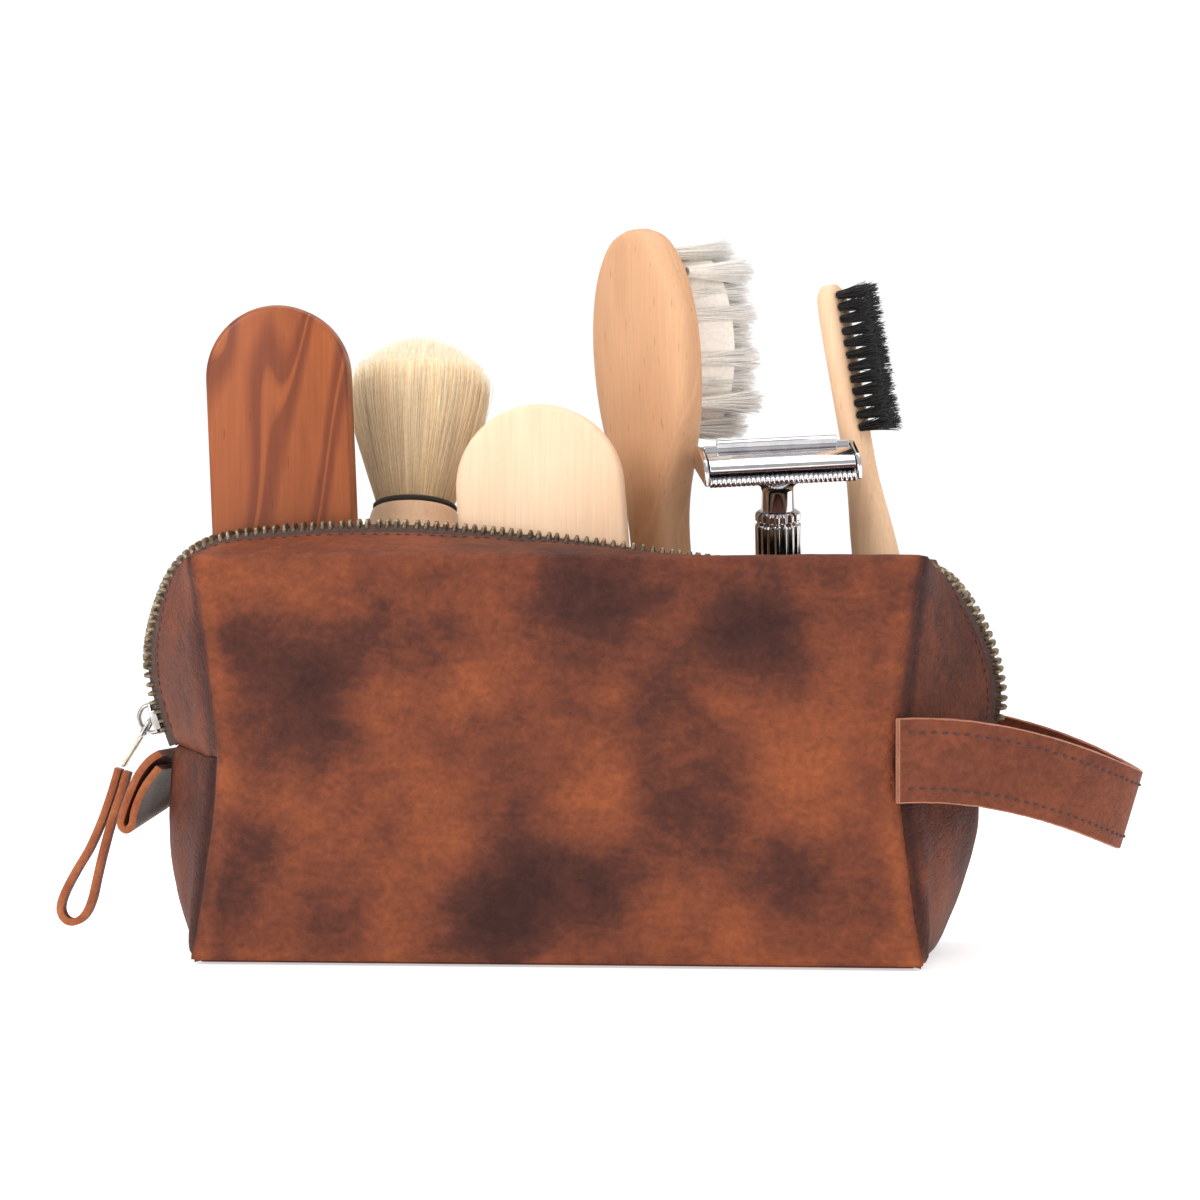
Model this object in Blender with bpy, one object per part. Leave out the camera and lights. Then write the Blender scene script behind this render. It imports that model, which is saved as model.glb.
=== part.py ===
"""Shaving kit bag: a boxed-corner leather wash bag, its zip open, with six grooming tools standing in it.

Metres, +Z up. The origin is the centre of the base, +X runs along the bag to the handle end, -Y is
the front. Sizes below are in millimetres and are scaled once, where a mesh or an empty is made.
"""
import math

import bmesh
import bpy
from mathutils import Matrix, Vector, noise

MM = 0.001
GAP = 0.3  # between pieces that touch on the real bag

# Leather shell
LEATHER = 1.8
HALF_DEPTH = 55.0
PANEL_HEIGHT = 107.0
SEAM_HEIGHT = 54.0  # the cross seam in each end, where the boxed corners pinch in
WAIST_HALF_LENGTH = 90.5
TOP_CORNER_HALF_LENGTH = 97.0
BASE_CORNER_HALF_LENGTH = 97.4
PANEL_BELLY = 1.5
STRIP_BULGE = 1.5
END_LENS_POWER = 1.4  # 1 would make each end two flat planes, 2 a round bulge
LOWER_END_TIP = ((0.0, 98.0), (3.0, 99.5), (12.0, 104.0), (25.0, 108.0), (35.0, 110.0), (54.0, 110.0))
EDGE_DEPTH = HALF_DEPTH - LEATHER - GAP

# Stations round the mouth, from the left cross seam over the top to the right one. Each gives the
# boxed edge of the leather (x, z) and the zip row beside it (x, distance from the centre plane, z).
MOUTH_STATIONS = (
    ((-90.6, 55.2), (-112.0, 3.3, 55.2)),
    ((-91.2, 60.0), (-113.8, 3.5, 60.2)),
    ((-92.0, 66.0), (-115.6, 4.3, 66.0)),
    ((-93.2, 76.0), (-117.6, 4.9, 76.0)),
    ((-94.2, 84.0), (-116.6, 8.5, 84.0)),
    ((-95.4, 93.0), (-113.4, 13.5, 93.0)),
    ((-96.5, 102.0), (-108.6, 18.0, 102.0)),
    ((-97.0, 107.0), (-102.0, 22.5, 108.0)),
    ((-90.0, 107.0), (-92.0, 28.0, 111.8)),
    ((-72.0, 107.0), (-74.0, 30.5, 114.0)),
    ((-44.0, 107.0), (-45.0, 31.0, 115.0)),
    ((-12.0, 107.0), (-12.0, 30.5, 112.3)),
    ((15.0, 107.0), (15.0, 29.5, 109.0)),
    ((42.0, 107.0), (41.0, 28.0, 105.2)),
    ((70.0, 107.0), (69.0, 27.0, 103.3)),
    ((88.0, 107.0), (86.0, 24.5, 104.0)),
    ((97.0, 107.0), (96.5, 19.0, 103.5)),
    ((96.2, 98.0), (104.5, 13.0, 97.5)),
    ((94.5, 84.0), (112.0, 8.0, 84.0)),
    ((92.2, 68.0), (115.2, 4.5, 68.0)),
    ((90.6, 55.2), (111.4, 3.3, 55.2)),
)
STRIP_STEPS = 60
STRIP_ROWS = 3

# Zip
TAPE_THICKNESS = 0.6
TAPE_WIDTH = 9.0
TAPE_SINK = 2.3  # of its hidden edge, under the leather
LEATHER_SETBACK = 5.0  # of the leather's edge from the row of teeth
TOOTH_PITCH = 2.54
TOOTH_THICKNESS = 2.6
TOOTH_REACH = 2.7
TOOTH_ROOT = 1.2
ROW_START = 4.6  # length of row taken by the stop below the first tooth
STOP_LENGTH = 3.2
SLIDER_BASE = (-113.4, 0.0, 59.1)
SLIDER_AXIS = (-0.313, 0.0, 0.950)
SLIDER_LENGTH = 9.5
SLIDER_HALF_WIDTH = 6.2
SLIDER_FACE = 1.8  # from the plane of the tape to the inside of each plate
SLIDER_PLATE = 1.0
SLIDER_LIP = 1.1  # of the top plate, turned down along both sides
SLIDER_SIDE_WALL = 0.9
SLIDER_POST_HALF_WIDTH = 1.1
SLIDER_POST_SPAN = (6.6, 9.2)  # up the slider
BRIDGE_PATH = ((2.4, 8.6), (5.0, 8.5), (6.9, 6.6), (7.2, 4.2), (6.0, 1.9), (4.4, 1.0), (2.4, 0.9))
BRIDGE_WIDTH = 3.0
BRIDGE_THICKNESS = 1.1
PULL_HINGE = (-118.6, 0.0, 62.2)
PULL_TIP = (-126.1, 0.0, 49.9)
PULL_THICKNESS = 1.1
PULL_EYE_HALF_WIDTH = 3.0
PULL_EYE_LENGTH = 5.6
PULL_EYE_WALL = 0.9
PULL_EYE_BACK = 0.6  # of the eye behind the hinge
PULL_NECK_HALF_WIDTH = 1.5
PULL_TIP_HALF_WIDTH = 2.5

# Lace loop on the pull tab, in the X-Z plane, as one hairpin
LACE_PATH = (
    (-127.6, 48.7), (-129.3, 43.0), (-132.0, 35.2), (-135.7, 26.8), (-139.6, 20.3), (-142.9, 14.0),
    (-144.0, 9.6), (-142.6, 6.7), (-140.0, 6.1), (-137.2, 8.0), (-135.2, 12.1), (-133.8, 18.0),
    (-132.2, 24.8), (-129.7, 33.9), (-126.9, 42.2), (-125.2, 47.9),
)
LACE_THICKNESS = 2.0
LACE_WIDTH = 4.6

# Folded side tab: its front and rear edges in the X-Z plane, from the seam round the fold and back
TAB_HALF_WIDTH = 12.5
TAB_THICKNESS = 2.1
TAB_FRONT_EDGE = (
    (-113.4, 53.4), (-116.6, 51.4), (-119.8, 47.3), (-122.4, 41.6), (-124.3, 36.2), (-124.6, 33.4),
    (-123.1, 32.2), (-121.5, 33.5), (-120.9, 36.8), (-119.7, 40.4), (-117.3, 45.0), (-113.8, 49.4),
)
TAB_HINGE = (-113.4, 0.0, 52.5)
TAB_REAR_EDGE = (
    (-113.4, 53.4), (-115.4, 50.9), (-117.4, 47.6), (-118.8, 44.2), (-119.7, 41.2), (-119.6, 38.8),
    (-118.1, 37.6), (-116.6, 38.8), (-116.6, 41.2), (-116.0, 44.0), (-114.8, 47.0), (-113.6, 49.4),
)

# Strap handle: half of its loop in plan (x, distance from the centre plane), from seam to nose
HANDLE_WIDTH = 22.0
HANDLE_LAYER = 1.35
HANDLE_HINGE = (94.0, 0.0, 54.0)
HANDLE_HALF_LOOP = ((95.4, 53.6), (108.0, 48.6), (125.0, 37.8), (138.5, 24.5), (147.2, 10.5), (149.4, 0.0))
HANDLE_DROOP = 16.5  # degrees at the nose
HANDLE_SAG = 0.92  # share of the nose's drop, square with the distance from the seam

# Lining
LINING = 0.8
LINING_INSET = 2.6
LINING_TOP = 98.0
LINING_TIP = 103.0
LINING_FLOOR = LEATHER + GAP
LINING_HEIGHTS = (LINING_FLOOR, 8.0, 14.0, 20.0, 36.0, SEAM_HEIGHT, 66.0, 82.0, LINING_TOP)

# Tools: length, the point of the foot, and how far each leans
TOOL_LENGTHS = {
    "dark_brush": 171.4,
    "shaving_brush": 100.0,
    "light_brush": 143.9,
    "hairbrush": 194.0,
    "razor": 99.0,
    "beard_brush": 146.0,
}
TOOL_FEET = {
    "dark_brush": (-73.0, -18.0, 4.0),
    "shaving_brush": (-46.4, -2.6, 71.0),
    "light_brush": (2.1, -21.5, 4.4),
    "hairbrush": (30.3, 7.0, 3.8),
    "razor": (55.6, 12.4, 44.9),
    "beard_brush": (93.2, 14.5, 38.2),
}
TOOL_LEANS = {  # degrees to the left, and to the rear
    "dark_brush": (2.4, 0.0),
    "shaving_brush": (0.0, 15.0),
    "light_brush": (4.5, 0.0),
    "hairbrush": (4.2, 0.0),
    "razor": (0.0, -15.0),
    "beard_brush": (9.7, 0.0),
}

# Flat brushes: half width of the back; its bristles stand behind it
DARK_BRUSH_HALF_WIDTH = 19.5
LIGHT_BRUSH_HALF_WIDTH = 22.5
PADDLE_THICKNESS = 10.0
PADDLE_FOOT_RADIUS = 8.0
PADDLE_EDGE = 2.0
PADDLE_BRISTLE_DEPTH = 9.0
PADDLE_BRISTLE_INSET = 4.5
PADDLE_BRISTLE_FOOT_RADIUS = 5.0

# Shaving brush, as turned profiles of (radius, height)
SHAVING_HANDLE = (
    (10.0, 0.0), (12.2, 1.2), (13.0, 4.0), (12.4, 10.0), (10.8, 17.0), (11.2, 23.0),
    (13.6, 30.0), (14.4, 36.0), (14.0, 42.0), (12.6, 46.5), (11.0, 48.6), (9.6, 49.0),
)
SHAVING_FERRULE = ((11.2, 49.3), (11.6, 50.0), (11.6, 51.6), (11.2, 52.4))
SHAVING_KNOT = (
    (10.6, 52.7), (12.2, 57.0), (15.6, 66.0), (18.6, 76.0), (19.9, 84.0), (19.4, 90.0),
    (16.6, 95.0), (11.0, 98.2), (4.0, 99.7),
)

# Brushes of rounded section, as (height, half width, half thickness)
HAIRBRUSH_TURN = 47.0  # degrees about its own length
HAIRBRUSH_STATIONS = (
    (0.0, 4.5, 4.0), (1.5, 7.2, 5.6), (8.0, 9.2, 6.4), (40.0, 9.4, 6.8), (80.0, 8.4, 6.8),
    (108.0, 8.2, 6.6), (120.0, 10.2, 6.6), (130.0, 14.4, 6.6), (141.0, 18.2, 6.6),
    (154.0, 20.2, 6.5), (167.0, 20.0, 6.4), (178.0, 17.6, 6.2), (186.0, 13.6, 5.8),
    (191.5, 8.6, 4.8), (TOOL_LENGTHS["hairbrush"], 3.2, 2.2),
)
HAIRBRUSH_FACE = 6.5  # from its middle to the face that holds the bristles
HAIRBRUSH_BRISTLE_TIPS = 29.0
HAIRBRUSH_FIELD_CENTRE = 163.0
HAIRBRUSH_FIELD_HALF_WIDTH = 15.6
HAIRBRUSH_FIELD_HALF_LENGTH = 25.6
BEARD_BRUSH_TURN = 115.0  # degrees about its own length
BEARD_BRUSH_STATIONS = (
    (0.0, 4.0, 3.6), (1.5, 5.6, 5.4), (20.0, 6.4, 6.2), (50.0, 6.8, 6.6), (72.0, 6.6, 6.0),
    (91.0, 4.4, 4.4), (104.0, 5.6, 3.6), (120.0, 6.2, 3.4), (136.0, 6.2, 3.4),
    (143.0, 5.2, 3.2), (TOOL_LENGTHS["beard_brush"], 2.6, 1.8),
)
BEARD_BRUSH_FACE = 3.6
BEARD_BRUSH_BRISTLE_TIPS = 16.6
BEARD_BRUSH_FIELD_HALF_WIDTH = 4.4
BEARD_BRUSH_FIELD_SPAN = (104.0, 144.0)

# Safety razor, heights from its foot
RAZOR_KNOB = ((4.4, 0.0), (5.8, 0.8), (5.8, 9.4), (4.6, 10.2))
RAZOR_KNOB_FLUTE = 0.5
RAZOR_BARREL = ((4.4, 10.6), (6.0, 11.6), (6.0, 76.4), (5.2, 77.4))
RAZOR_BARREL_FLUTE = 0.7
RAZOR_PLATE_HEIGHT = 87.2
RAZOR_NECK = ((4.4, 77.7), (4.4, 83.0), (5.0, 84.5), (7.0, 86.2), (7.0, RAZOR_PLATE_HEIGHT - GAP))
RAZOR_TURN = 12.0  # degrees about its own length, its right end to the rear
RAZOR_HEAD_HALF = 21.25
RAZOR_HEAD_DEPTH = 12.2
RAZOR_CAP_THICKNESS = 1.3
RAZOR_PLATE_THICKNESS = 3.0
RAZOR_BLADE_THICKNESS = 0.25
RAZOR_BLADE_HALF_WIDTH = 10.9
RAZOR_BLADE_INSET = 0.4  # from the ends of the plate
RAZOR_SPINE_HALF_WIDTH = 0.8
RAZOR_SPINE_HEIGHT = 5.0
RAZOR_DOOR_HINGE = (11.0, 91.2)  # from the centre plane, and height
RAZOR_DOOR_REACH = 11.6
RAZOR_DOOR_CROWN = 3.8
RAZOR_DOOR_THICKNESS = 0.9  # at its outer edge

# Paper wads, as (centre, half size)
PAPER_WADS = {
    "paper_wad_left": ((-41.0, 13.0, 35.6), (17.0, 18.0, 33.8)),
    "paper_wad_right": ((69.0, 15.5, 23.4), (27.5, 20.5, 21.0)),
}

MATERIAL_LOOKS = {  # colour, roughness, metallic
    "leather": ((0.21, 0.075, 0.040), 0.50, 0.0),
    "lining": ((0.09, 0.06, 0.045), 0.90, 0.0),
    "zip_tape": ((0.10, 0.045, 0.030), 0.85, 0.0),
    "antique_brass": ((0.20, 0.14, 0.08), 0.40, 1.0),
    "nickel": ((0.60, 0.57, 0.53), 0.25, 1.0),
    "chrome": ((0.75, 0.75, 0.77), 0.08, 1.0),
    "blade_steel": ((0.55, 0.56, 0.58), 0.22, 1.0),
    "beech": ((0.62, 0.36, 0.19), 0.55, 0.0),
    "birch": ((0.78, 0.60, 0.40), 0.55, 0.0),
    "stained_wood": ((0.22, 0.055, 0.020), 0.35, 0.0),
    "ferrule": ((0.05, 0.04, 0.035), 0.50, 0.0),
    "cream_bristle": ((0.72, 0.60, 0.38), 0.70, 0.0),
    "white_bristle": ((0.85, 0.82, 0.75), 0.70, 0.0),
    "black_bristle": ((0.02, 0.02, 0.02), 0.60, 0.0),
    "paper": ((0.75, 0.70, 0.62), 0.90, 0.0),
}


# ---------------------------------------------------------------- helpers

def make_material(name):
    colour, roughness, metallic = MATERIAL_LOOKS[name]
    material = bpy.data.materials.new(name)
    material.use_nodes = True
    shader = material.node_tree.nodes["Principled BSDF"]
    shader.inputs["Base Color"].default_value = (*colour, 1.0)
    shader.inputs["Roughness"].default_value = roughness
    shader.inputs["Metallic"].default_value = metallic
    return material


def add_object(name, points, faces, material, parent=None, closed=True):
    """One mesh object from points in millimetres; a closed one has its faces turned outwards."""
    mesh = bpy.data.meshes.new(name)
    mesh.from_pydata([Vector(point) * MM for point in points], [], faces)
    mesh.materials.append(bpy.data.materials[material])
    if closed:
        work = bmesh.new()
        work.from_mesh(mesh)
        bmesh.ops.recalc_face_normals(work, faces=work.faces)
        work.to_mesh(mesh)
        work.free()
    mesh.shade_smooth()
    mesh.set_sharp_from_angle(angle=math.radians(40))
    item = bpy.data.objects.new(name, mesh)
    item.parent = parent
    bpy.context.scene.collection.objects.link(item)
    return item


def solid(name, rings, material, parent=None):
    """A closed body through rings of equal count, with a flat face at each end.

    The two halves of a ring start their faces at different corners, so that both sides of a thin
    twisted strap split along the same diagonal and keep clear of each other.
    """
    count = len(rings[0])
    points = [point for ring in rings for point in ring]
    faces = [list(range(count)), list(range(len(points) - count, len(points)))]
    for level in range(len(rings) - 1):
        start = level * count
        for k in range(count):
            following = (k + 1) % count
            face = (start + k, start + following, start + count + following, start + count + k)
            faces.append(face if k < count / 2 else face[1:] + face[:1])
    return add_object(name, points, faces, material, parent)


def sheet(name, rows, thickness, material, inside):
    """A sheet of the given thickness behind a grid of points; its face looks away from inside."""
    count = len(rows[0])
    points = [Vector(point) for row in rows for point in row]
    faces = []
    for i in range(len(rows) - 1):
        for j in range(count - 1):
            corner = i * count + j
            faces.append((corner, corner + 1, corner + count + 1, corner + count))
    facing = 0.0
    for face in faces:
        a, b, c, d = (points[k] for k in face)
        facing += (c - a).cross(d - b).dot((a + c) / 2 - Vector(inside))
    if facing < 0:
        faces = [face[::-1] for face in faces]
    item = add_object(name, points, faces, material, closed=False)
    shell = item.modifiers.new("thickness", "SOLIDIFY")
    shell.thickness = thickness * MM
    shell.offset = -1.0
    shell.use_even_offset = False
    return item


def strap(name, left_edge, right_edge, thickness, material, parent=None):
    """A flat band between two edges, thickness measured square to it."""
    rings = []
    last = len(left_edge) - 1
    for i, (left, right) in enumerate(zip(left_edge, right_edge)):
        before, after = max(i - 1, 0), min(i + 1, last)
        along = (left_edge[after] + right_edge[after]) - (left_edge[before] + right_edge[before])
        lift = along.cross(right - left).normalized() * (thickness / 2)
        rings.append((left + lift, right + lift, right - lift, left - lift))
    return solid(name, rings, material, parent)


def prism(name, outline, low, high, material, parent=None, bevel=0.0):
    """An (x, z) outline extruded along y, with rounded edges where bevel is given."""
    rings = [[(x, y, z) for x, z in outline] for y in (low, high)]
    item = solid(name, rings, material, parent)
    if bevel:
        rounding = item.modifiers.new("edges", "BEVEL")
        rounding.width = bevel * MM
        rounding.segments = 2
        rounding.limit_method = "ANGLE"
        rounding.angle_limit = math.radians(50)
    return item


def turned(name, profile, sides, material, parent=None, flute=0.0):
    """A turned body from (radius, height) pairs; flute is the depth of its lengthwise hollows."""
    rings = []
    for radius, height in profile:
        ring = []
        for k in range(sides):
            angle = 2 * math.pi * k / sides
            reach = radius - (flute if k % 2 else 0.0)
            ring.append((reach * math.cos(angle), reach * math.sin(angle), height))
        rings.append(ring)
    return solid(name, rings, material, parent)


def join(item, helper):
    """Unite helper with item; helper stays as a hidden modelling aid."""
    apply_boolean(item, helper, "UNION")


def cut(item, helper):
    apply_boolean(item, helper, "DIFFERENCE")


def apply_boolean(item, helper, operation):
    helper.hide_render = True
    helper.display_type = "WIRE"
    boolean = item.modifiers.new(helper.name, "BOOLEAN")
    boolean.operation = operation
    boolean.solver = "EXACT"
    boolean.object = helper


def move_origin(item, point):
    """Put an object's origin on its joint's axis and leave its shape where it is."""
    item.data.transform(Matrix.Translation(Vector(point) * -MM))
    item.location = Vector(point) * MM


def add_empty(name, matrix, parent=None):
    empty = bpy.data.objects.new(name, None)
    empty.parent = parent
    empty.matrix_local = matrix
    bpy.context.scene.collection.objects.link(empty)
    return empty


def along_curve(points, place):
    """The point at a place (0 to len - 1) on a smooth curve through the points."""
    last = len(points) - 1
    start = min(max(int(place), 0), last - 1)
    f = place - start
    a, b, c, d = (Vector(points[min(max(start + k, 0), last)]) for k in (-1, 0, 1, 2))
    return 0.5 * (2 * b + (c - a) * f + (2 * a - 5 * b + 4 * c - d) * f ** 2
                  + (3 * b - a - 3 * c + d) * f ** 3)


def even_places(points, step):
    """Places on the curve that are a step of length apart."""
    samples = 40 * (len(points) - 1)
    places = [0.0]
    travelled = 0.0
    previous = Vector(points[0])
    for k in range(1, samples + 1):
        place = k / 40
        point = along_curve(points, place)
        travelled += (point - previous).length
        previous = point
        if travelled >= step * len(places):
            places.append(place)
    return places


def read_table(pairs, value):
    """Straight-line reading of a table of (value, result) pairs."""
    for (low, first), (high, second) in zip(pairs, pairs[1:]):
        if value <= high:
            return first + (second - first) * (value - low) / (high - low)
    return pairs[-1][1]


# ---------------------------------------------------------------- leather shell

def corner_half_length(height):
    """Half the bag's length at its boxed corners, pinched in at the cross seam."""
    if height < SEAM_HEIGHT:
        share = (SEAM_HEIGHT - height) / SEAM_HEIGHT
        return WAIST_HALF_LENGTH + (BASE_CORNER_HALF_LENGTH - WAIST_HALF_LENGTH) * share ** 1.2
    share = (height - SEAM_HEIGHT) / (PANEL_HEIGHT - SEAM_HEIGHT)
    return WAIST_HALF_LENGTH + (TOP_CORNER_HALF_LENGTH - WAIST_HALF_LENGTH) * share ** 1.2


def lower_end_half_length(depth, height):
    """Half the bag's length below the cross seam, at a distance from the centre plane."""
    corner = corner_half_length(height)
    tip = read_table(LOWER_END_TIP, height)
    share = min(abs(depth) / EDGE_DEPTH, 1.0)
    return corner + (tip - corner) * (1 - share ** END_LENS_POWER)


def build_wall_panels():
    """Front and back: one piece of leather each, from the base to the top edge."""
    columns, rows = 10, 8
    for name, side in (("front_panel", -1), ("back_panel", 1)):
        grid = []
        for j in range(rows + 1):
            height = PANEL_HEIGHT * j / rows
            row = []
            for i in range(columns + 1):
                share = 2 * i / columns - 1
                belly = PANEL_BELLY * (1 - share ** 2) * math.sin(math.pi * j / rows)
                row.append((share * corner_half_length(height), side * (HALF_DEPTH + belly), height))
            grid.append(row)
        sheet(name, grid, LEATHER, "leather", (0, 0, PANEL_HEIGHT / 2))


def build_base():
    inset = LEATHER + 4 * GAP
    steps = 8
    depths = [EDGE_DEPTH * (2 * k / steps - 1) for k in range(steps + 1)]
    outline = [(lower_end_half_length(depth, 0) - inset, depth) for depth in depths]
    outline += [(-x, depth) for x, depth in reversed(outline)]
    solid("base_panel", [[(x, y, z) for x, y in outline] for z in (0.0, LEATHER)], "leather")


def build_lower_ends():
    columns, rows = 12, 8
    for name, side in (("left_lower_end", -1), ("right_lower_end", 1)):
        grid = []
        for j in range(rows + 1):
            height = GAP + (SEAM_HEIGHT - 2 * GAP) * j / rows
            depths = [EDGE_DEPTH * (2 * i / columns - 1) for i in range(columns + 1)]
            grid.append([(side * lower_end_half_length(y, height), y, height) for y in depths])
        sheet(name, grid, LEATHER, "leather", (0, 0, SEAM_HEIGHT / 2))


def boxed_edge(side):
    return [(edge[0], side * EDGE_DEPTH, edge[1]) for edge, _ in MOUTH_STATIONS]


def zip_route(side):
    return [(row[0], side * row[1], row[2]) for _, row in MOUTH_STATIONS]


def zip_frame(side, place):
    """Point of a zip row, with the directions along it, across to the leather, and out of the bag."""
    route = zip_route(side)
    last = len(route) - 1
    point = along_curve(route, place)
    along = along_curve(route, min(place + 0.1, last)) - along_curve(route, max(place - 0.1, 0.0))
    along.normalize()
    across = along_curve(boxed_edge(side), place) - point
    across -= along * across.dot(along)
    across.normalize()
    outward = across.cross(along) * -side
    return point, along, across, outward


def build_gussets():
    """Top lip and upper half of both ends: one strip of leather on each side of the zip."""
    for name, side in (("front_gusset", -1), ("rear_gusset", 1)):
        edge = boxed_edge(side)
        grid = [[] for _ in range(STRIP_ROWS + 1)]
        for k in range(STRIP_STEPS + 1):
            place = (len(edge) - 1) * k / STRIP_STEPS
            point, _, across, outward = zip_frame(side, place)
            outer = along_curve(edge, place)
            lift = TAPE_THICKNESS / 2 + GAP + LEATHER
            inner = point + across * LEATHER_SETBACK + outward * lift
            for i, row in enumerate(grid):
                share = i / STRIP_ROWS
                bulge = STRIP_BULGE * 4 * share * (1 - share)
                row.append(outer.lerp(inner, share) + outward * bulge)
        sheet(name, grid, LEATHER, "leather", (0, 0, SEAM_HEIGHT))


def build_lining():
    """Fabric lining: an open-topped bag just inside the leather."""
    steps = 12

    def ring(height, extra):
        half_depth = EDGE_DEPTH - GAP - extra
        outline = []
        for k in range(steps + 1):
            depth = half_depth * (2 * k / steps - 1)
            corner = corner_half_length(height) - LINING_INSET
            tip = min(read_table(LOWER_END_TIP, height) - 2 * LINING_INSET, LINING_TIP)
            share = abs(depth) / half_depth
            reach = corner + (max(tip, corner) - corner) * (1 - share ** END_LENS_POWER) - extra
            outline.append((reach, depth))
        outline += [(-x, depth) for x, depth in reversed(outline)]
        return outline

    rings = [[(x, y, z) for x, y in ring(z, 0.0)] for z in LINING_HEIGHTS]
    floor = LINING_FLOOR + LINING
    rings += [[(x, y, max(z, floor)) for x, y in ring(z, LINING)] for z in reversed(LINING_HEIGHTS)]
    solid("lining", rings, "lining")


# ---------------------------------------------------------------- zip

def build_zip_rows():
    for end, side in (("front", -1), ("rear", 1)):
        route = zip_route(side)
        near, far = [], []
        for k in range(STRIP_STEPS + 1):
            point, _, across, outward = zip_frame(side, (len(route) - 1) * k / STRIP_STEPS)
            near.append(point + across * GAP)
            far.append(point + across * TAPE_WIDTH - outward * TAPE_SINK)
        strap(f"zip_tape_{end}", near, far, TAPE_THICKNESS, "zip_tape")

        places = even_places(route, TOOTH_PITCH / 2)
        first = round(ROW_START / (TOOTH_PITCH / 2))
        rings = []
        for k, place in enumerate(places[first:-first]):
            point, _, across, outward = zip_frame(side, place)
            reach = TOOTH_ROOT if k % 2 else TOOTH_REACH
            edge = outward * (TOOTH_THICKNESS / 2)
            rings.append((point + edge, point - edge, point - across * reach))
        solid(f"zip_teeth_{end}", rings, "antique_brass")

        point, along, across, outward = zip_frame(side, places[-2])
        build_stop(f"zip_top_stop_{end}", point, along, across, outward, TOOTH_REACH)


def build_stop(name, point, along, across, outward, reach):
    """A stop crimped on the end of a row."""
    base = point + along * (GAP - STOP_LENGTH / 2)
    corners = ((1, 0), (-1, 0), (-1, -reach), (1, -reach))
    rings = []
    for shift in (-STOP_LENGTH / 2, STOP_LENGTH / 2):
        ring = [base + along * shift + outward * sign * TOOTH_THICKNESS / 2 + across * move
                for sign, move in corners]
        rings.append(ring)
    solid(name, rings, "antique_brass")


def build_bottom_stop():
    """The stop that both rows share, below the parked slider."""
    point, along, _, outward = zip_frame(-1, 0.0)
    start = Vector((point.x, 0, point.z)) + along * GAP
    half = MOUTH_STATIONS[0][1][1] - GAP
    across = Vector((0, 1, 0))
    rings = []
    for shift in (0.0, STOP_LENGTH):
        centre = start + along * shift
        ring = [centre + outward * a * TOOTH_THICKNESS / 2 + across * b * half
                for a, b in ((1, 1), (-1, 1), (-1, -1), (1, -1))]
        rings.append(ring)
    solid("zip_bottom_stop", rings, "antique_brass")


def slider_point(out, across, up):
    """A point of the slider: out of the bag, across the zip and up along it, from its base."""
    axis = Vector(SLIDER_AXIS).normalized()
    outward = Vector((-axis.z, 0, axis.x))
    return Vector(SLIDER_BASE) + axis * up + outward * out + Vector((0, across, 0))


def build_slider():
    """Two plates over and under the teeth, a post between them and the bridge that holds the tab."""
    far = SLIDER_FACE + SLIDER_PLATE
    lip = SLIDER_FACE - SLIDER_LIP
    inner = SLIDER_HALF_WIDTH - SLIDER_SIDE_WALL
    channel = ((far, -SLIDER_HALF_WIDTH), (far, SLIDER_HALF_WIDTH), (lip, SLIDER_HALF_WIDTH),
               (lip, inner), (SLIDER_FACE, inner), (SLIDER_FACE, -inner), (lip, -inner),
               (lip, -SLIDER_HALF_WIDTH))

    half = inner - GAP
    flat = ((-SLIDER_FACE, half), (-SLIDER_FACE, -half), (-far, -half), (-far, half))
    post_reach = SLIDER_FACE + SLIDER_PLATE / 2
    post_half = SLIDER_POST_HALF_WIDTH
    post = ((post_reach, post_half), (-post_reach, post_half),
            (-post_reach, -post_half), (post_reach, -post_half))

    def bar(name, section, low, high):
        rings = [[slider_point(out, across, up) for out, across in section] for up in (low, high)]
        return solid(name, rings, "nickel")

    body = bar("slider_body", channel, 0.0, SLIDER_LENGTH)
    join(body, bar("slider_under_plate", flat, 0.0, SLIDER_LENGTH))
    join(body, bar("slider_post", post, *SLIDER_POST_SPAN))
    edges = []
    for across in (-BRIDGE_WIDTH / 2, BRIDGE_WIDTH / 2):
        route = [slider_point(out, across, up) for out, up in BRIDGE_PATH]
        edges.append([along_curve(route, k / 2) for k in range(2 * len(route) - 1)])
    join(body, strap("slider_bridge", edges[0], edges[1], BRIDGE_THICKNESS, "nickel"))


def build_pull_tab():
    """Metal tab: an eye round the slider's bridge and a tongue that widens to the lace."""
    hinge = Vector(PULL_HINGE)
    reach = Vector(PULL_TIP) - hinge
    length = reach.length
    along = reach.normalized()
    lift = Vector((-along.z, 0, along.x)) * (PULL_THICKNESS / 2)
    shoulder = PULL_EYE_LENGTH + PULL_EYE_HALF_WIDTH - PULL_NECK_HALF_WIDTH
    half = [(-PULL_EYE_BACK, PULL_EYE_HALF_WIDTH), (PULL_EYE_LENGTH, PULL_EYE_HALF_WIDTH),
            (shoulder, PULL_NECK_HALF_WIDTH), (length, PULL_TIP_HALF_WIDTH)]
    outline = half + [(a, -b) for a, b in reversed(half)]

    def slab(name, shape, thickness):
        rings = [[hinge + along * a + Vector((0, b, 0)) + lift * thickness * sign for a, b in shape]
                 for sign in (1, -1)]
        return solid(name, rings, "nickel")

    tab = slab("pull_tab", outline, 1.0)
    near, far = PULL_EYE_BACK, PULL_EYE_LENGTH - PULL_EYE_WALL
    side = PULL_EYE_HALF_WIDTH - PULL_EYE_WALL
    window = ((near, -side), (near, side), (far, side), (far, -side))
    cut(tab, slab("pull_tab_window", window, 3.0))
    move_origin(tab, PULL_HINGE)


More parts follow.
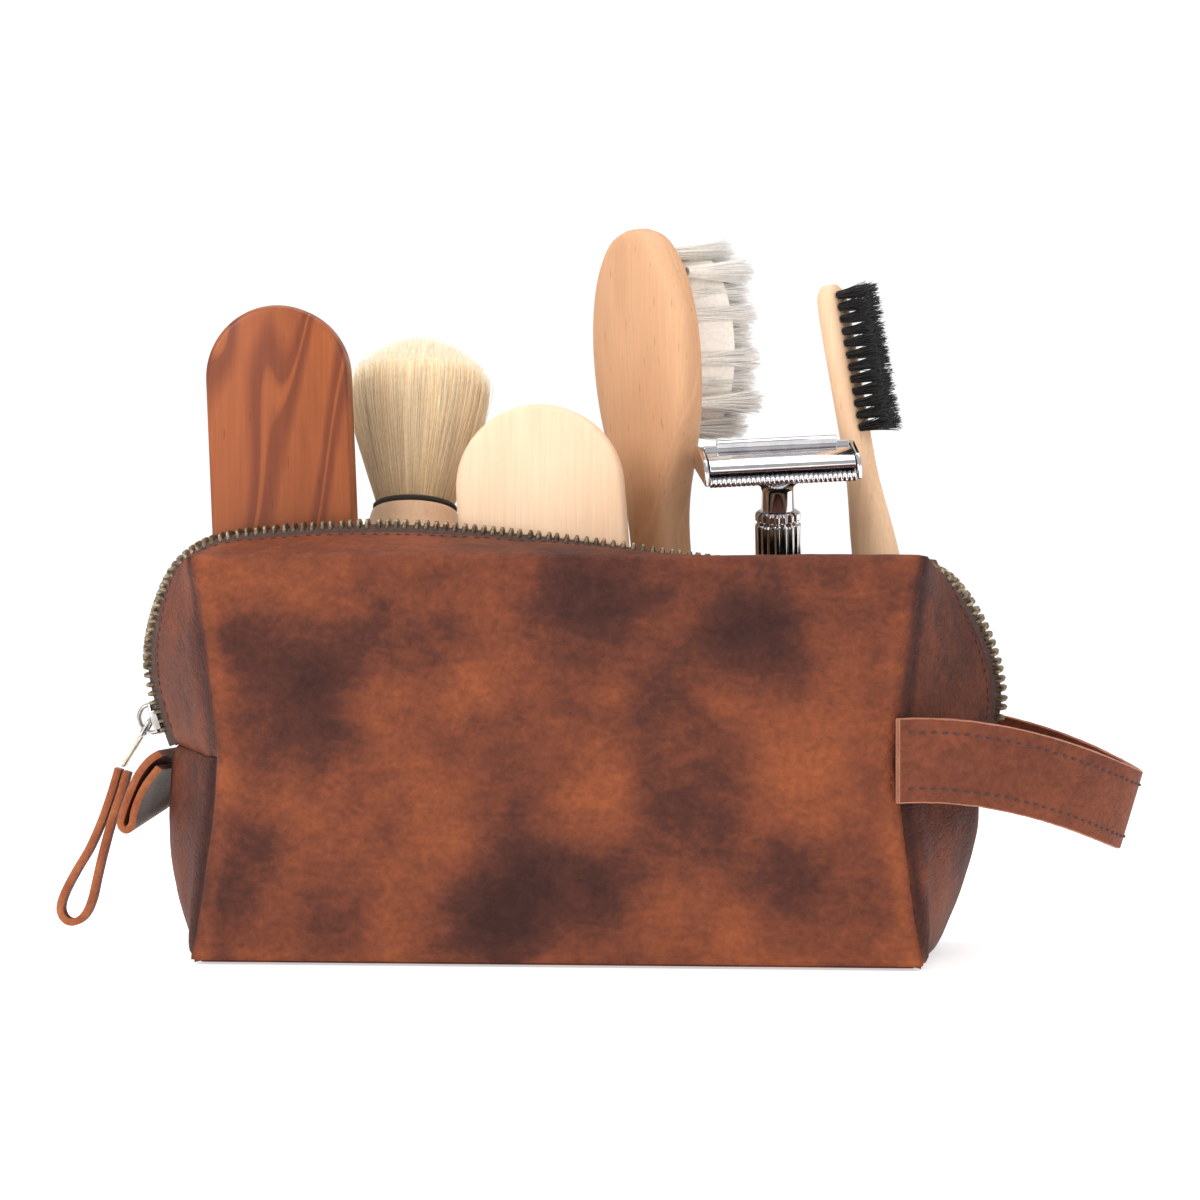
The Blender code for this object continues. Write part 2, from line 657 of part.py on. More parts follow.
def flat_route(path, y, per_point):
    """A smooth route through (x, z) points at one y."""
    points = [(x, y, z) for x, z in path]
    return [along_curve(points, k / per_point) for k in range(per_point * (len(points) - 1) + 1)]


def build_leather_pull():
    half = LACE_WIDTH / 2
    lace = strap("leather_pull", flat_route(LACE_PATH, -half, 2), flat_route(LACE_PATH, half, 2),
                 LACE_THICKNESS, "leather")
    move_origin(lace, PULL_TIP)


# ---------------------------------------------------------------- handle and tab

def build_side_tab():
    tab = strap("side_tab", flat_route(TAB_FRONT_EDGE, -TAB_HALF_WIDTH, 2),
                flat_route(TAB_REAR_EDGE, TAB_HALF_WIDTH, 2), TAB_THICKNESS, "leather")
    move_origin(tab, TAB_HINGE)


def handle_route(offset):
    """Both edges of a strap round the handle's loop, offset outwards from the middle of the two."""
    half = [(x, -y, 0.0) for x, y in HANDLE_HALF_LOOP]
    loop = half + [(x, -y, z) for x, y, z in reversed(half[:-1])]
    hinge = Vector(HANDLE_HINGE)
    nose = HANDLE_HALF_LOOP[-1][0] - hinge.x
    upper, lower = [], []
    steps = 4 * (len(loop) - 1)
    for k in range(steps + 1):
        place = k / 4
        point = along_curve(loop, place)
        along = along_curve(loop, min(place + 0.1, len(loop) - 1)) - along_curve(loop, max(place - 0.1, 0))
        point += Vector((along.y, -along.x, 0)).normalized() * offset
        reach = point.x - hinge.x
        turn = math.radians(HANDLE_DROOP) * min(max(reach / nose, 0.0), 1.0)
        sink = nose * math.radians(HANDLE_DROOP) * (reach / nose) ** 2 * HANDLE_SAG
        centre = Vector((point.x, point.y, hinge.z - sink))
        rise = Vector((math.sin(turn), 0, math.cos(turn))) * (HANDLE_WIDTH / 2)
        upper.append(centre + rise)
        lower.append(centre - rise)
    return upper, lower


def build_handle():
    offset = (HANDLE_LAYER + GAP) / 2
    for name, side in (("handle_strap_outer", 1), ("handle_strap_inner", -1)):
        upper, lower = handle_route(side * offset)
        layer = strap(name, upper, lower, HANDLE_LAYER, "leather")
        move_origin(layer, HANDLE_HINGE)


# ---------------------------------------------------------------- tools

def tool_stand(name):
    """An empty at a tool's foot whose Z runs up the tool, along which it lifts out."""
    left, rear = (math.radians(angle) for angle in TOOL_LEANS[name])
    lean = Matrix.Rotation(-left, 4, "Y") @ Matrix.Rotation(-rear, 4, "X")
    return add_empty(f"{name}_axis", Matrix.Translation(Vector(TOOL_FEET[name]) * MM) @ lean)


def paddle_outline(half_width, length, foot_radius):
    """Straight sides, a half-round top and rounded corners at the foot."""
    outline = []
    for k in range(13):
        angle = math.pi * k / 12
        outline.append((half_width * math.cos(angle), length - half_width + half_width * math.sin(angle)))
    for centre, start in ((-half_width + foot_radius, math.pi), (half_width - foot_radius, 1.5 * math.pi)):
        for k in range(4):
            angle = start + math.pi / 2 * k / 3
            outline.append((centre + foot_radius * math.cos(angle), foot_radius * (1 + math.sin(angle))))
    return outline


def build_paddle_brush(name, half_width, wood, bristle):
    """A flat brush: a wooden back to the front, its bristles to the rear."""
    stand = tool_stand(name)
    length = TOOL_LENGTHS[name]
    back = PADDLE_THICKNESS / 2
    outline = paddle_outline(half_width, length, PADDLE_FOOT_RADIUS)
    prism(f"{name}_back", outline, -back, back, wood, stand, bevel=PADDLE_EDGE)
    inset = PADDLE_BRISTLE_INSET
    field = paddle_outline(half_width - inset, length - 2 * inset, PADDLE_BRISTLE_FOOT_RADIUS)
    shape = [(x, z + inset) for x, z in field]
    prism(f"{name}_bristles", shape, back + GAP, back + PADDLE_BRISTLE_DEPTH, bristle, stand)


def build_shaving_brush():
    stand = tool_stand("shaving_brush")
    turned("shaving_brush_handle", SHAVING_HANDLE, 18, "beech", stand)
    turned("shaving_brush_ferrule", SHAVING_FERRULE, 18, "ferrule", stand)
    turned("shaving_brush_knot", SHAVING_KNOT, 20, "cream_bristle", stand)


def oval_rings(stations, sides=16, power=2.4):
    """Rings of rounded sections from (height, half width, half thickness) stations."""
    rings = []
    for height, half_width, half_thickness in stations:
        ring = []
        for k in range(sides):
            angle = 2 * math.pi * (k + 0.5) / sides
            c, s = math.cos(angle), math.sin(angle)
            x = math.copysign(abs(c) ** (2 / power), c) * half_width
            y = math.copysign(abs(s) ** (2 / power), s) * half_thickness
            ring.append((x, y, height))
        rings.append(ring)
    return rings


def build_hairbrush():
    """Oval head on a slim handle; local -Y is its back and local +Y its bristle side."""
    stand = tool_stand("hairbrush")
    turn = add_empty("hairbrush_turn", Matrix.Rotation(math.radians(-HAIRBRUSH_TURN), 4, "Z"), stand)
    solid("hairbrush_body", oval_rings(HAIRBRUSH_STATIONS), "beech", turn)
    field = []
    for k in range(20):
        angle = 2 * math.pi * k / 20
        field.append((HAIRBRUSH_FIELD_HALF_WIDTH * math.cos(angle),
                      HAIRBRUSH_FIELD_CENTRE + HAIRBRUSH_FIELD_HALF_LENGTH * math.sin(angle)))
    prism("hairbrush_bristles", field, HAIRBRUSH_FACE + 2 * GAP, HAIRBRUSH_BRISTLE_TIPS,
          "white_bristle", turn)


def build_beard_brush():
    """Slim brush; local +Y is its bristle side."""
    stand = tool_stand("beard_brush")
    turn = add_empty("beard_brush_turn", Matrix.Rotation(math.radians(-BEARD_BRUSH_TURN), 4, "Z"), stand)
    solid("beard_brush_body", oval_rings(BEARD_BRUSH_STATIONS, sides=12), "beech", turn)
    half = BEARD_BRUSH_FIELD_HALF_WIDTH
    low, high = BEARD_BRUSH_FIELD_SPAN
    field = ((-half, low), (half, low), (half, high), (-half, high))
    prism("beard_brush_bristles", field, BEARD_BRUSH_FACE + 2 * GAP, BEARD_BRUSH_BRISTLE_TIPS,
          "black_bristle", turn)


def build_razor():
    """Butterfly safety razor: the knob in the foot turns the doors over the blade open."""
    lean = tool_stand("razor")
    stand = add_empty("razor_turn", Matrix.Rotation(math.radians(RAZOR_TURN), 4, "Z"), lean)
    turned("razor_knob", RAZOR_KNOB, 24, "chrome", stand, flute=RAZOR_KNOB_FLUTE)
    turned("razor_barrel", RAZOR_BARREL, 20, "chrome", stand, flute=RAZOR_BARREL_FLUTE)
    turned("razor_neck", RAZOR_NECK, 16, "chrome", stand)

    base = RAZOR_PLATE_HEIGHT
    plate_top = base + RAZOR_PLATE_THICKNESS
    inside_half = RAZOR_HEAD_HALF - RAZOR_CAP_THICKNESS - GAP
    depth = RAZOR_HEAD_DEPTH
    tray_half = ((depth - 1.0, base), (depth, base + 1.4), (depth, base + 2.2), (depth - 1.6, plate_top))
    tray = list(tray_half) + [(-y, z) for y, z in reversed(tray_half)]
    long_prism("razor_guard_plate", tray, inside_half, "chrome", stand)

    blade_low = plate_top + GAP
    blade_high = blade_low + RAZOR_BLADE_THICKNESS
    edge = RAZOR_BLADE_HALF_WIDTH
    blade = ((-edge, blade_low), (edge, blade_low), (edge, blade_high), (-edge, blade_high))
    long_prism("razor_blade", blade, inside_half - RAZOR_BLADE_INSET, "blade_steel", stand)

    low = blade_high + GAP
    spine_half = RAZOR_SPINE_HALF_WIDTH
    spine_top = low + RAZOR_SPINE_HEIGHT
    chamfer = spine_half / 2
    spine = ((-spine_half, low), (spine_half, low), (spine_half, spine_top - chamfer), (chamfer, spine_top),
             (-chamfer, spine_top), (-spine_half, spine_top - chamfer))
    long_prism("razor_spine", spine, inside_half, "chrome", stand)
    for name, side in (("razor_door_front", -1), ("razor_door_rear", 1)):
        build_razor_door(name, side, low, inside_half, stand)
    build_razor_end_caps(base, low, stand)


def build_razor_door(name, side, low, half_length, stand):
    """One arched door, from beside the spine down to the blade's edge."""
    inner = RAZOR_SPINE_HALF_WIDTH + GAP
    crown = low + RAZOR_DOOR_CROWN
    shoulder = inner + GAP
    drop = RAZOR_DOOR_CROWN - RAZOR_DOOR_THICKNESS
    arch = [(side * inner, low), (side * inner, crown)]
    for k in range(1, 6):
        angle = math.pi / 2 * k / 5
        reach = shoulder + (RAZOR_DOOR_REACH - shoulder) * math.sin(angle)
        arch.append((side * reach, crown - drop + drop * math.cos(angle)))
    arch.append((side * (RAZOR_DOOR_REACH - GAP), low))
    door = long_prism(name, arch, half_length, "chrome", stand)
    move_origin(door, (0.0, side * RAZOR_DOOR_HINGE[0], RAZOR_DOOR_HINGE[1]))


def build_razor_end_caps(base, low, stand):
    """Low gabled plates that close both ends of the head."""
    depth = RAZOR_HEAD_DEPTH
    cap = ((-depth, base + 0.6), (depth, base + 0.6), (depth, base + 4.4), (depth - 3.0, low + 3.2),
           (0.0, low + 4.6), (-depth + 3.0, low + 3.2), (-depth, base + 4.4))
    for name, side in (("razor_end_cap_left", -1), ("razor_end_cap_right", 1)):
        places = (side * (RAZOR_HEAD_HALF - RAZOR_CAP_THICKNESS), side * RAZOR_HEAD_HALF)
        solid(name, [[(x, y, z) for y, z in cap] for x in places], "chrome", stand)


def long_prism(name, outline, half_length, material, parent):
    """A (y, z) outline extruded along x."""
    rings = [[(x, y, z) for y, z in outline] for x in (-half_length, half_length)]
    return solid(name, rings, material, parent)


# ---------------------------------------------------------------- paper wads

def build_paper_wads():
    """Crumpled paper that fills the bag and carries the two short tools."""
    for name, (centre, half_size) in PAPER_WADS.items():
        ball = bmesh.new()
        bmesh.ops.create_icosphere(ball, subdivisions=2, radius=1.0)
        points = []
        for vertex in ball.verts:
            crumple = 0.96 + 0.06 * noise.noise(vertex.co * 2.5)
            points.append([c + s * v * crumple for c, s, v in zip(centre, half_size, vertex.co)])
        faces = [[vertex.index for vertex in face.verts] for face in ball.faces]
        ball.free()
        add_object(name, points, faces, "paper")


# ---------------------------------------------------------------- assembly

def build():
    for item in list(bpy.data.objects):
        bpy.data.objects.remove(item)
    for name in MATERIAL_LOOKS:
        make_material(name)
    build_wall_panels()
    build_base()
    build_lower_ends()
    build_gussets()
    build_lining()
    build_zip_rows()
    build_bottom_stop()
    build_slider()
    build_pull_tab()
    build_leather_pull()
    build_side_tab()
    build_handle()
    build_paddle_brush("dark_brush", DARK_BRUSH_HALF_WIDTH, "stained_wood", "black_bristle")
    build_paddle_brush("light_brush", LIGHT_BRUSH_HALF_WIDTH, "birch", "cream_bristle")
    build_shaving_brush()
    build_hairbrush()
    build_beard_brush()
    build_razor()
    build_paper_wads()


build()
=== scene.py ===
"""Looks of the shaving kit bag: mottled pull-up leather, a metal zip, and the tools in its mouth."""
import math

import bmesh
import bpy
import numpy as np
from mathutils import Matrix, Vector, noise
from mathutils.bvhtree import BVHTree


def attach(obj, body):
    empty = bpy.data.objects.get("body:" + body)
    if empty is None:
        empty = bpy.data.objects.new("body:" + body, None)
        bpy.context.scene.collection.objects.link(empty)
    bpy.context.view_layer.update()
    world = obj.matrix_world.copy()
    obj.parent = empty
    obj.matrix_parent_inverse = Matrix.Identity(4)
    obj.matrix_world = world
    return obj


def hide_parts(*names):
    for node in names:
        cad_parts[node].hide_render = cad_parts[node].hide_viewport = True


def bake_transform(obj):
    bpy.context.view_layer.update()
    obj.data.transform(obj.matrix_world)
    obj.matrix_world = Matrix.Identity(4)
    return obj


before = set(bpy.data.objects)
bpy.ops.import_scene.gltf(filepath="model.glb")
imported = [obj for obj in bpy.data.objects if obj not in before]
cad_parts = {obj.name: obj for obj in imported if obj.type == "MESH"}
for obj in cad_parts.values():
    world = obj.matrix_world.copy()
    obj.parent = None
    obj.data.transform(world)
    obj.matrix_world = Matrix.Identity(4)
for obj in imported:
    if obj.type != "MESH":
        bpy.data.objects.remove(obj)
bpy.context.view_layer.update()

MM = 0.001
RANDOM = np.random.default_rng(7)

# Leather shell, in millimetres, as the CAD has it but for the left end, which bulges up to 6 mm further
LEATHER = 1.8
HALF_DEPTH = 55.0
PANEL_HEIGHT = 107.0
SEAM_HEIGHT = 54.0
WAIST_HALF_LENGTH = 90.5
TOP_CORNER_HALF_LENGTH = 97.0
BASE_CORNER_HALF_LENGTH = 97.4
END_LENS_POWER = 1.4
LOWER_END_TIP = ((0.0, 98.0), (3.0, 99.5), (12.0, 104.0), (25.0, 108.0), (35.0, 110.0), (54.0, 110.0))
LEFT_END_TIP = ((0.0, 101.0), (3.0, 105.0), (12.0, 110.0), (25.0, 112.2), (35.0, 113.0), (54.0, 112.6))
MOUTH_STATIONS = (
    ((-90.6, 55.2), (-112.0, 3.3, 55.2)),
    ((-91.2, 60.0), (-113.8, 3.5, 60.2)),
    ((-92.0, 66.0), (-115.6, 4.3, 66.0)),
    ((-93.2, 76.0), (-117.6, 4.9, 76.0)),
    ((-94.2, 84.0), (-116.6, 8.5, 84.0)),
    ((-95.4, 93.0), (-113.4, 13.5, 93.0)),
    ((-96.5, 102.0), (-108.6, 18.0, 102.0)),
    ((-97.0, 107.0), (-102.0, 22.5, 108.0)),
    ((-90.0, 107.0), (-92.0, 28.0, 111.8)),
    ((-72.0, 107.0), (-74.0, 30.5, 114.0)),
    ((-44.0, 107.0), (-45.0, 31.0, 115.0)),
    ((-12.0, 107.0), (-12.0, 30.5, 112.3)),
    ((15.0, 107.0), (15.0, 29.5, 109.0)),
    ((42.0, 107.0), (41.0, 28.0, 105.2)),
    ((70.0, 107.0), (69.0, 27.0, 103.3)),
    ((88.0, 107.0), (86.0, 24.5, 104.0)),
    ((97.0, 107.0), (96.5, 19.0, 103.5)),
    ((96.2, 98.0), (104.5, 13.0, 97.5)),
    ((94.5, 84.0), (112.0, 8.0, 84.0)),
    ((92.2, 68.0), (115.2, 4.5, 68.0)),
    ((90.6, 55.2), (111.4, 3.3, 55.2)),
)
LEATHER_SETBACK = 5.0
LEATHER_LIFT = 0.2
SEAM_RISE = 1.4  # how far the cross seam climbs from the corners to the zip
LINING_FLOOR = 2.1
TOOTH_PITCH = 2.54
ROW_START = 4.6


# ---------------------------------------------------------------- curves and frames

def along_curve(points, place):
    """The point at a place (0 to len - 1) on a smooth curve through the points."""
    last = len(points) - 1
    start = min(max(int(place), 0), last - 1)
    f = place - start
    a, b, c, d = (Vector(points[min(max(start + k, 0), last)]) for k in (-1, 0, 1, 2))
    return 0.5 * (2 * b + (c - a) * f + (2 * a - 5 * b + 4 * c - d) * f ** 2
                  + (3 * b - a - 3 * c + d) * f ** 3)


def even_places(points, step):
    samples = 40 * (len(points) - 1)
    places = [0.0]
    travelled = 0.0
    previous = Vector(points[0])
    for k in range(1, samples + 1):
        point = along_curve(points, k / 40)
        travelled += (point - previous).length
        previous = point
        if travelled >= step * len(places):
            places.append(k / 40)
    return places


def read_table(pairs, value):
    for (low, first), (high, second) in zip(pairs, pairs[1:]):
        if value <= high:
            return first + (second - first) * (value - low) / (high - low)
    return pairs[-1][1]


def smoothstep(value):
    value = min(max(value, 0.0), 1.0)
    return value * value * (3 - 2 * value)


def corner_half_length(height):
    if height < SEAM_HEIGHT:
        share = (SEAM_HEIGHT - height) / SEAM_HEIGHT
        return WAIST_HALF_LENGTH + (BASE_CORNER_HALF_LENGTH - WAIST_HALF_LENGTH) * share ** 1.2
    share = (height - SEAM_HEIGHT) / (PANEL_HEIGHT - SEAM_HEIGHT)
    return WAIST_HALF_LENGTH + (TOP_CORNER_HALF_LENGTH - WAIST_HALF_LENGTH) * share ** 1.2


def boxed_edge(side):
    return [(edge[0], side * HALF_DEPTH, edge[1]) for edge, _ in MOUTH_STATIONS]


def zip_route(side):
    return [(row[0], side * row[1], row[2]) for _, row in MOUTH_STATIONS]


def zip_frame(side, place):
    """Point of a zip row, with the directions along it, across to the leather, and out of the bag."""
    route = zip_route(side)
    last = len(route) - 1
    point = along_curve(route, place)
    along = along_curve(route, min(place + 0.1, last)) - along_curve(route, max(place - 0.1, 0.0))
    along.normalize()
    across = along_curve(boxed_edge(side), place) - point
    across -= along * across.dot(along)
    across.normalize()
    outward = across.cross(along) * -side
    return point, along, across, outward


# ---------------------------------------------------------------- materials

class Shade:
    """A node material, with short calls for the nodes that the looks below use."""

    def __init__(self, name):
        self.material = bpy.data.materials.new(name)
        self.material.use_nodes = True
        self.nodes = self.material.node_tree.nodes
        self.links = self.material.node_tree.links
        self.shader = self.nodes["Principled BSDF"]
        self.place = self.nodes.new("ShaderNodeTexCoord").outputs["Object"]

    def link(self, source, target):
        if isinstance(source, (int, float)):
            target.default_value = source
        elif isinstance(source, tuple):
            target.default_value = (*source, 1.0) if len(source) == 3 else source
        else:
            self.links.new(source, target)

    def scaled(self, scale):
        node = self.nodes.new("ShaderNodeMapping")
        node.inputs["Scale"].default_value = scale
        self.link(self.place, node.inputs["Vector"])
        return node.outputs["Vector"]

    def noise(self, scale, detail=3.0, roughness=0.5, distortion=0.0, place=None):
        node = self.nodes.new("ShaderNodeTexNoise")
        self.link(place or self.place, node.inputs["Vector"])
        for key, value in (("Scale", scale), ("Detail", detail), ("Roughness", roughness),
                           ("Distortion", distortion)):
            node.inputs[key].default_value = value
        return node.outputs["Fac"]

    def cells(self, scale, feature="F1", place=None, randomness=1.0):
        node = self.nodes.new("ShaderNodeTexVoronoi")
        node.feature = feature
        self.link(place or self.place, node.inputs["Vector"])
        node.inputs["Scale"].default_value = scale
        node.inputs["Randomness"].default_value = randomness
        return node.outputs["Distance"]

    def wave(self, scale, distortion, detail=2.0, direction="X", place=None):
        node = self.nodes.new("ShaderNodeTexWave")
        node.bands_direction = direction
        self.link(place or self.place, node.inputs["Vector"])
        node.inputs["Scale"].default_value = scale
        node.inputs["Distortion"].default_value = distortion
        node.inputs["Detail"].default_value = detail
        return node.outputs["Fac"]

    def ramp(self, source, *stops):
        node = self.nodes.new("ShaderNodeValToRGB")
        elements = node.color_ramp.elements
        while len(elements) < len(stops):
            elements.new(0.5)
        for element, (position, colour) in zip(elements, stops):
            element.position = position
            element.color = (*colour, 1.0) if isinstance(colour, tuple) else (colour, colour, colour, 1.0)
        self.link(source, node.inputs["Fac"])
        return node.outputs["Color"]

    def mix(self, share, first, second, blend="MIX"):
        node = self.nodes.new("ShaderNodeMix")
        node.data_type = "RGBA"
        node.blend_type = blend
        self.link(share, node.inputs["Factor"])
        self.link(first, node.inputs[6])
        self.link(second, node.inputs[7])
        return node.outputs[2]

    def sum(self, first, second, operation="ADD"):
        node = self.nodes.new("ShaderNodeMath")
        node.operation = operation
        self.link(first, node.inputs[0])
        self.link(second, node.inputs[1])
        return node.outputs["Value"]

    def attribute(self, name):
        node = self.nodes.new("ShaderNodeAttribute")
        node.attribute_name = name
        return node.outputs["Fac"]

    def bump(self, height, distance, strength=1.0, after=None):
        node = self.nodes.new("ShaderNodeBump")
        self.link(height, node.inputs["Height"])
        node.inputs["Distance"].default_value = distance
        node.inputs["Strength"].default_value = strength
        if after is not None:
            self.link(after, node.inputs["Normal"])
        return node.outputs["Normal"]

    def finish(self, colour, roughness, normal=None, metallic=0.0, **sockets):
        self.link(colour, self.shader.inputs["Base Color"])
        self.link(roughness, self.shader.inputs["Roughness"])
        self.shader.inputs["Metallic"].default_value = metallic
        if normal is not None:
            self.link(normal, self.shader.inputs["Normal"])
        for key, value in sockets.items():
            self.shader.inputs[key.replace("_", " ")].default_value = value
        return self.material


def leather_material(name, deep, dark, base, glow, marks=1.0):
    """Waxed pull-up leather: dark oily patches, pale pulled spots, fine pebbled grain and creases.

    The tone attribute, where a mesh has one, darkens (below 0) or pulls (above 0) the colour; it also carries
    painted highlights and painted crease shade.
    """
    shade = Shade(name)
    clouds = shade.noise(24.0, 2.0, 0.5, 0.4)
    patches = shade.noise(64.0, 3.0, 0.55, 0.5)
    streaks = shade.noise(210.0, 4.0, 0.68, 0.6, shade.scaled((0.55, 1.0, 1.0)))
    tone = shade.attribute("tone")
    for source, amount in ((clouds, 0.70 * marks), (patches, 0.46 * marks), (streaks, 0.42)):
        tone = shade.sum(tone, shade.sum(shade.sum(source, -0.5), amount, "MULTIPLY"))
    middle = tuple((a + b) / 2 for a, b in zip(base, glow))
    colour = shade.ramp(shade.sum(tone, 0.5), (0.10, deep), (0.34, dark), (0.52, base), (0.72, middle),
                        (0.95, glow))
    fine = shade.noise(520.0, 3.0, 0.6)
    colour = shade.mix(0.45, colour, shade.ramp(fine, (0.3, 0.60), (0.7, 1.28)), "MULTIPLY")
    scratches = shade.ramp(shade.cells(95.0, "DISTANCE_TO_EDGE"), (0.0, 1.0), (0.010, 0.0))
    faint = shade.sum(scratches, shade.ramp(shade.noise(40.0, 2.0), (0.55, 0.0), (0.7, 0.16)), "MULTIPLY")
    colour = shade.mix(faint, colour, glow)
    grain = shade.cells(1150.0)
    creases = shade.cells(360.0, "DISTANCE_TO_EDGE", shade.scaled((0.6, 1.0, 1.0)))
    pores = shade.noise(2400.0, 2.0)
    normal = shade.bump(shade.ramp(creases, (0.0, 0.0), (0.12, 1.0)), 0.00016, 0.7)
    normal = shade.bump(grain, 0.00018, 0.55, normal)
    normal = shade.bump(pores, 0.00005, 0.5, normal)
    normal = shade.bump(streaks, 0.0006, 0.45, normal)
    rough = shade.ramp(shade.sum(streaks, patches, "MULTIPLY"), (0.0, 0.50), (0.6, 0.66))
    return shade.finish(colour, rough, normal, Specular_IOR_Level=0.08)


def suede_material(name, colour, other):
    shade = Shade(name)
    fuzz = shade.noise(900.0, 4.0, 0.7)
    cloud = shade.noise(90.0, 3.0)
    tint = shade.mix(shade.ramp(cloud, (0.35, 0.0), (0.65, 1.0)), colour, other)
    tint = shade.mix(0.5, tint, shade.ramp(fuzz, (0.3, 0.5), (0.7, 1.3)), "MULTIPLY")
    normal = shade.bump(fuzz, 0.0005, 0.7)
    return shade.finish(tint, 0.92, normal, Specular_IOR_Level=0.15, Sheen_Weight=0.3)


def cloth_material(name, colour, scale=1400.0):
    shade = Shade(name)
    warp = shade.wave(scale, 0.6, 1.0, "X")
    weft = shade.wave(scale, 0.6, 1.0, "Z")
    weave = shade.sum(warp, weft, "MULTIPLY")
    cloud = shade.noise(120.0, 3.0)
    tint = shade.mix(0.6, colour, shade.ramp(weave, (0.0, 0.55), (0.8, 1.25)), "MULTIPLY")
    tint = shade.mix(0.4, tint, shade.ramp(cloud, (0.3, 0.7), (0.7, 1.2)), "MULTIPLY")
    return shade.finish(tint, 0.88, shade.bump(weave, 0.0002, 0.7), Sheen_Weight=0.2)


def metal_material(name, bright, dull, roughness, spots=380.0, bump=0.00003):
    shade = Shade(name)
    cloud = shade.noise(spots, 4.0, 0.6)
    colour = shade.mix(shade.ramp(cloud, (0.38, 0.0), (0.66, 1.0)), bright, dull)
    rough = shade.ramp(cloud, (0.3, roughness), (0.75, min(1.0, roughness * 2.0)))
    return shade.finish(colour, rough, shade.bump(cloud, bump, 0.5), metallic=1.0)


def wood_material(name, light, dark, line, fleck=0.5, roughness=0.5, coat=0.0, figure=0.6, rings=34.0):
    """Wood with its grain up the tool: growth rings in long loops, fine fibres and short flecks."""
    shade = Shade(name)
    field = shade.noise(20.0, 2.0, 0.45, 0.3, shade.scaled((1.0, 1.0, 0.20)))
    loops = shade.sum(shade.sum(field, rings * 2, "MULTIPLY"), 0.0, "SINE")
    late = shade.ramp(loops, (0.15, 0.0), (0.80, figure), (0.97, figure), (1.0, 0.0))
    cloud = shade.noise(42.0, 3.0, 0.6, 0.5, shade.scaled((1.0, 1.0, 0.22)))
    colour = shade.mix(shade.ramp(cloud, (0.35, 0.0), (0.75, 0.7)), light, dark)
    colour = shade.mix(late, colour, dark)
    fibres = shade.noise(1500.0, 3.0, 0.6, 0.0, shade.scaled((1.0, 1.0, 0.025)))
    colour = shade.mix(0.30, colour, shade.ramp(fibres, (0.35, 0.78), (0.65, 1.10)), "MULTIPLY")
    dashes = shade.cells(620.0, "F1", shade.scaled((1.0, 1.0, 0.13)))
    colour = shade.mix(shade.sum(shade.ramp(dashes, (0.06, 1.0), (0.16, 0.0)), fleck, "MULTIPLY"), colour,
                       line)
    rough = shade.ramp(fibres, (0.3, roughness), (0.7, min(1.0, roughness + 0.15)))
    normal = shade.bump(fibres, 0.00006, 0.5)
    return shade.finish(colour, rough, normal, Coat_Weight=coat, Coat_Roughness=0.25, Specular_IOR_Level=0.3)


def bristle_material(name, root, tip, roughness=0.55):
    """Strands: height runs from 0 at the root to 1 at the tip, and strand differs from one to the next."""
    shade = Shade(name)
    colour = shade.mix(shade.attribute("height"), root, tip)
    colour = shade.mix(0.8, colour, shade.ramp(shade.attribute("strand"), (0.0, 0.90), (1.0, 1.12)),
                       "MULTIPLY")
    fine = shade.noise(900.0, 2.0)
    colour = shade.mix(0.25, colour, shade.ramp(fine, (0.3, 0.7), (0.7, 1.2)), "MULTIPLY")
    return shade.finish(colour, roughness, shade.bump(fine, 0.00003, 0.4), Specular_IOR_Level=0.3)


def paper_material():
    shade = Shade("tissue_paper")
    fibres = shade.noise(700.0, 4.0, 0.6)
    colour = shade.mix(shade.ramp(fibres, (0.3, 0.0), (0.7, 1.0)), (0.70, 0.66, 0.58), (0.80, 0.77, 0.70))
    return shade.finish(colour, 0.85, shade.bump(fibres, 0.0002, 0.4))


